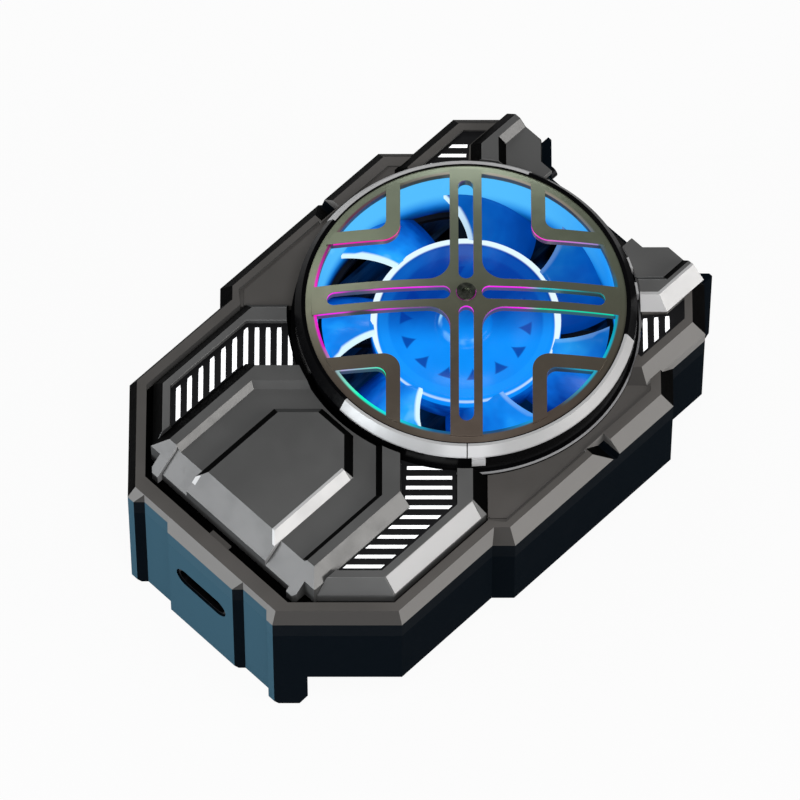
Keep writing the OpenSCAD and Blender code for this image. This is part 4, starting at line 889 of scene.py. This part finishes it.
# Hub: each pair is a distance from the radius of the boss or of the hub, and a depth below the top
hub = {"round": 0.0003, "bossFoot": (0.0003, 0.0010), "dishInner": (0.0009, 0.0011),
       "dishOuter": (0.0026, 0.0009), "bandInner": (0.0022, 0.0005), "bandOuter": (0.0012, 0.0004),
       "rim": 0.0008, "wall": 0.0009, "ceilingOuter": 0.0016, "ceilingInner": (0.0008, 0.0019),
       "sleeveRadius": 0.0014, "boreRadius": 0.00105, "sleeveRise": 0.0010, "boreDepth": 0.0005, "sides": 96}


def hubProfile(s, h):
    low, top, wall, boss = s["low"], s["hubTop"], s["hubRadius"], s["bossRadius"]
    curve, inner = h["round"], wall - h["wall"]
    sleeveFoot, boreTop = low + h["sleeveRise"], top - h["boreDepth"]
    upper = [(0, top), (boss - curve, top), (boss, top - curve)]
    upper += [(boss + out, top - deep) for out, deep in (h["bossFoot"], h["dishInner"])]
    upper += [(wall - into, top - deep) for into, deep in (h["dishOuter"], h["bandInner"], h["bandOuter"])]
    upper += [(wall - h["rim"], top), (wall - curve, top), (wall, top - curve)]
    under = [(wall, low), (inner, low), (inner, top - h["ceilingOuter"]),
             (boss - h["ceilingInner"][0], top - h["ceilingInner"][1]), (h["sleeveRadius"], sleeveFoot),
             (h["boreRadius"], sleeveFoot), (h["boreRadius"], boreTop), (0, boreTop)]
    return upper + under


def buildRotor(s):
    blades = bladeRing(s)
    cup = lathe(hubProfile(s, hub), hub["sides"], "fan_hub", made["hubBlue"])
    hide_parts("impeller")
    for piece in (blades, cup):
        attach(piece, "rotor")


buildRotor(rotor)
print("rotor built:", rotor["blades"], "blades")


# Return springs: wound wire in place of the plain sleeves
springs = {"space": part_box("jaw_springs"), "turns": 17, "steps": 24, "sides": 6, "wire": 0.00016,
           "travel": 0.020}


def windSprings(s):
    low, high = s["space"]
    outer = (high[2] - low[2]) / 2
    middle, off, wire = (high[2] + low[2]) / 2, high[1] - outer, s["wire"]
    count = s["turns"] * s["steps"]
    bm = bmesh.new()
    for y in (off, -off):
        last = None
        for i in range(count + 1):
            a = math.tau * i / s["steps"]
            x = low[0] + wire + (high[0] - low[0] - 2 * wire) * i / count
            ring = []
            for j in range(s["sides"]):
                b = math.tau * j / s["sides"]
                r = outer - wire + wire * math.cos(b)
                spot = (x + wire * math.sin(b), y + r * math.cos(a), middle + r * math.sin(a))
                ring.append(bm.verts.new(spot))
            if last:
                for j in range(s["sides"]):
                    k = (j + 1) % s["sides"]
                    bm.faces.new((last[j], last[k], ring[k], ring[j])).smooth = True
            else:
                bm.faces.new(ring)
            last = ring
        bm.faces.new(last)
    piece = newPiece("wound_springs", finishMesh(bm, "wound_springs", made["steel"]))
    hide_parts("jaw_springs")
    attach(piece, "housing")
    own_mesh(piece)


windSprings(springs)
print("springs wound")


# Floor: the camera sees it as nearly white, and it is dimmer in reflections
floor = {"halfSize": 1.6, "height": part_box("lower_housing")[0][2] - 0.00002,
         "clouds": {"size": 8, "detail": 2}, "colour": (0.55, 0.55, 0.56), "cloudGain": 1.02,
         "rough": 0.9, "specular": 0.1, "lift": 0.94, "mirrored": 0.3}


def floorPaint(name, s):
    material, t, shader, place = startMaterial(name)
    pale = tuple(c * s["cloudGain"] for c in s["colour"])
    t.join(t.blend(t.noise(place, **s["clouds"]), s["colour"], pale), shader.inputs["Base Color"])
    shader.inputs["Roughness"].default_value = s["rough"]
    shader.inputs["Specular IOR Level"].default_value = s["specular"]
    path = t.add("ShaderNodeLightPath")
    behind = t.calc("MAXIMUM", path.outputs["Is Glossy Ray"], path.outputs["Is Transmission Ray"])
    direct = t.times(path.outputs["Is Camera Ray"], s["lift"])
    seen = t.calc("MAXIMUM", direct, t.times(behind, s["mirrored"]))
    bright = t.add("ShaderNodeEmission")
    bright.inputs["Color"].default_value = (1, 1, 1, 1)
    bright.inputs["Strength"].default_value = 1
    both = t.add("ShaderNodeMixShader")
    t.join(seen, both.inputs[0])
    t.join(shader.outputs[0], both.inputs[1])
    t.join(bright.outputs[0], both.inputs[2])
    t.join(both.outputs[0], material.node_tree.nodes["Material Output"].inputs["Surface"])
    return material


def layFloor(s):
    bm = bmesh.new()
    h = s["halfSize"]
    corners = ((-h, -h), (h, -h), (h, h), (-h, h))
    bm.faces.new([bm.verts.new((x, y, s["height"])) for x, y in corners])
    mesh = finishMesh(bm, "studioFloor", floorPaint("paleFloor", s))
    plane = newPiece("studioFloor", mesh)


layFloor(floor)


# Dim white light from all round
surround = {"colour": (1, 1, 1, 1), "strength": 0.10}


def lightWorld(s):
    world = bpy.data.worlds.new("studio")
    scene.world = world
    world.use_nodes = True
    background = world.node_tree.nodes["Background"]
    background.inputs[0].default_value = s["colour"]
    background.inputs[1].default_value = s["strength"]


lightWorld(surround)
print("floor and world set")
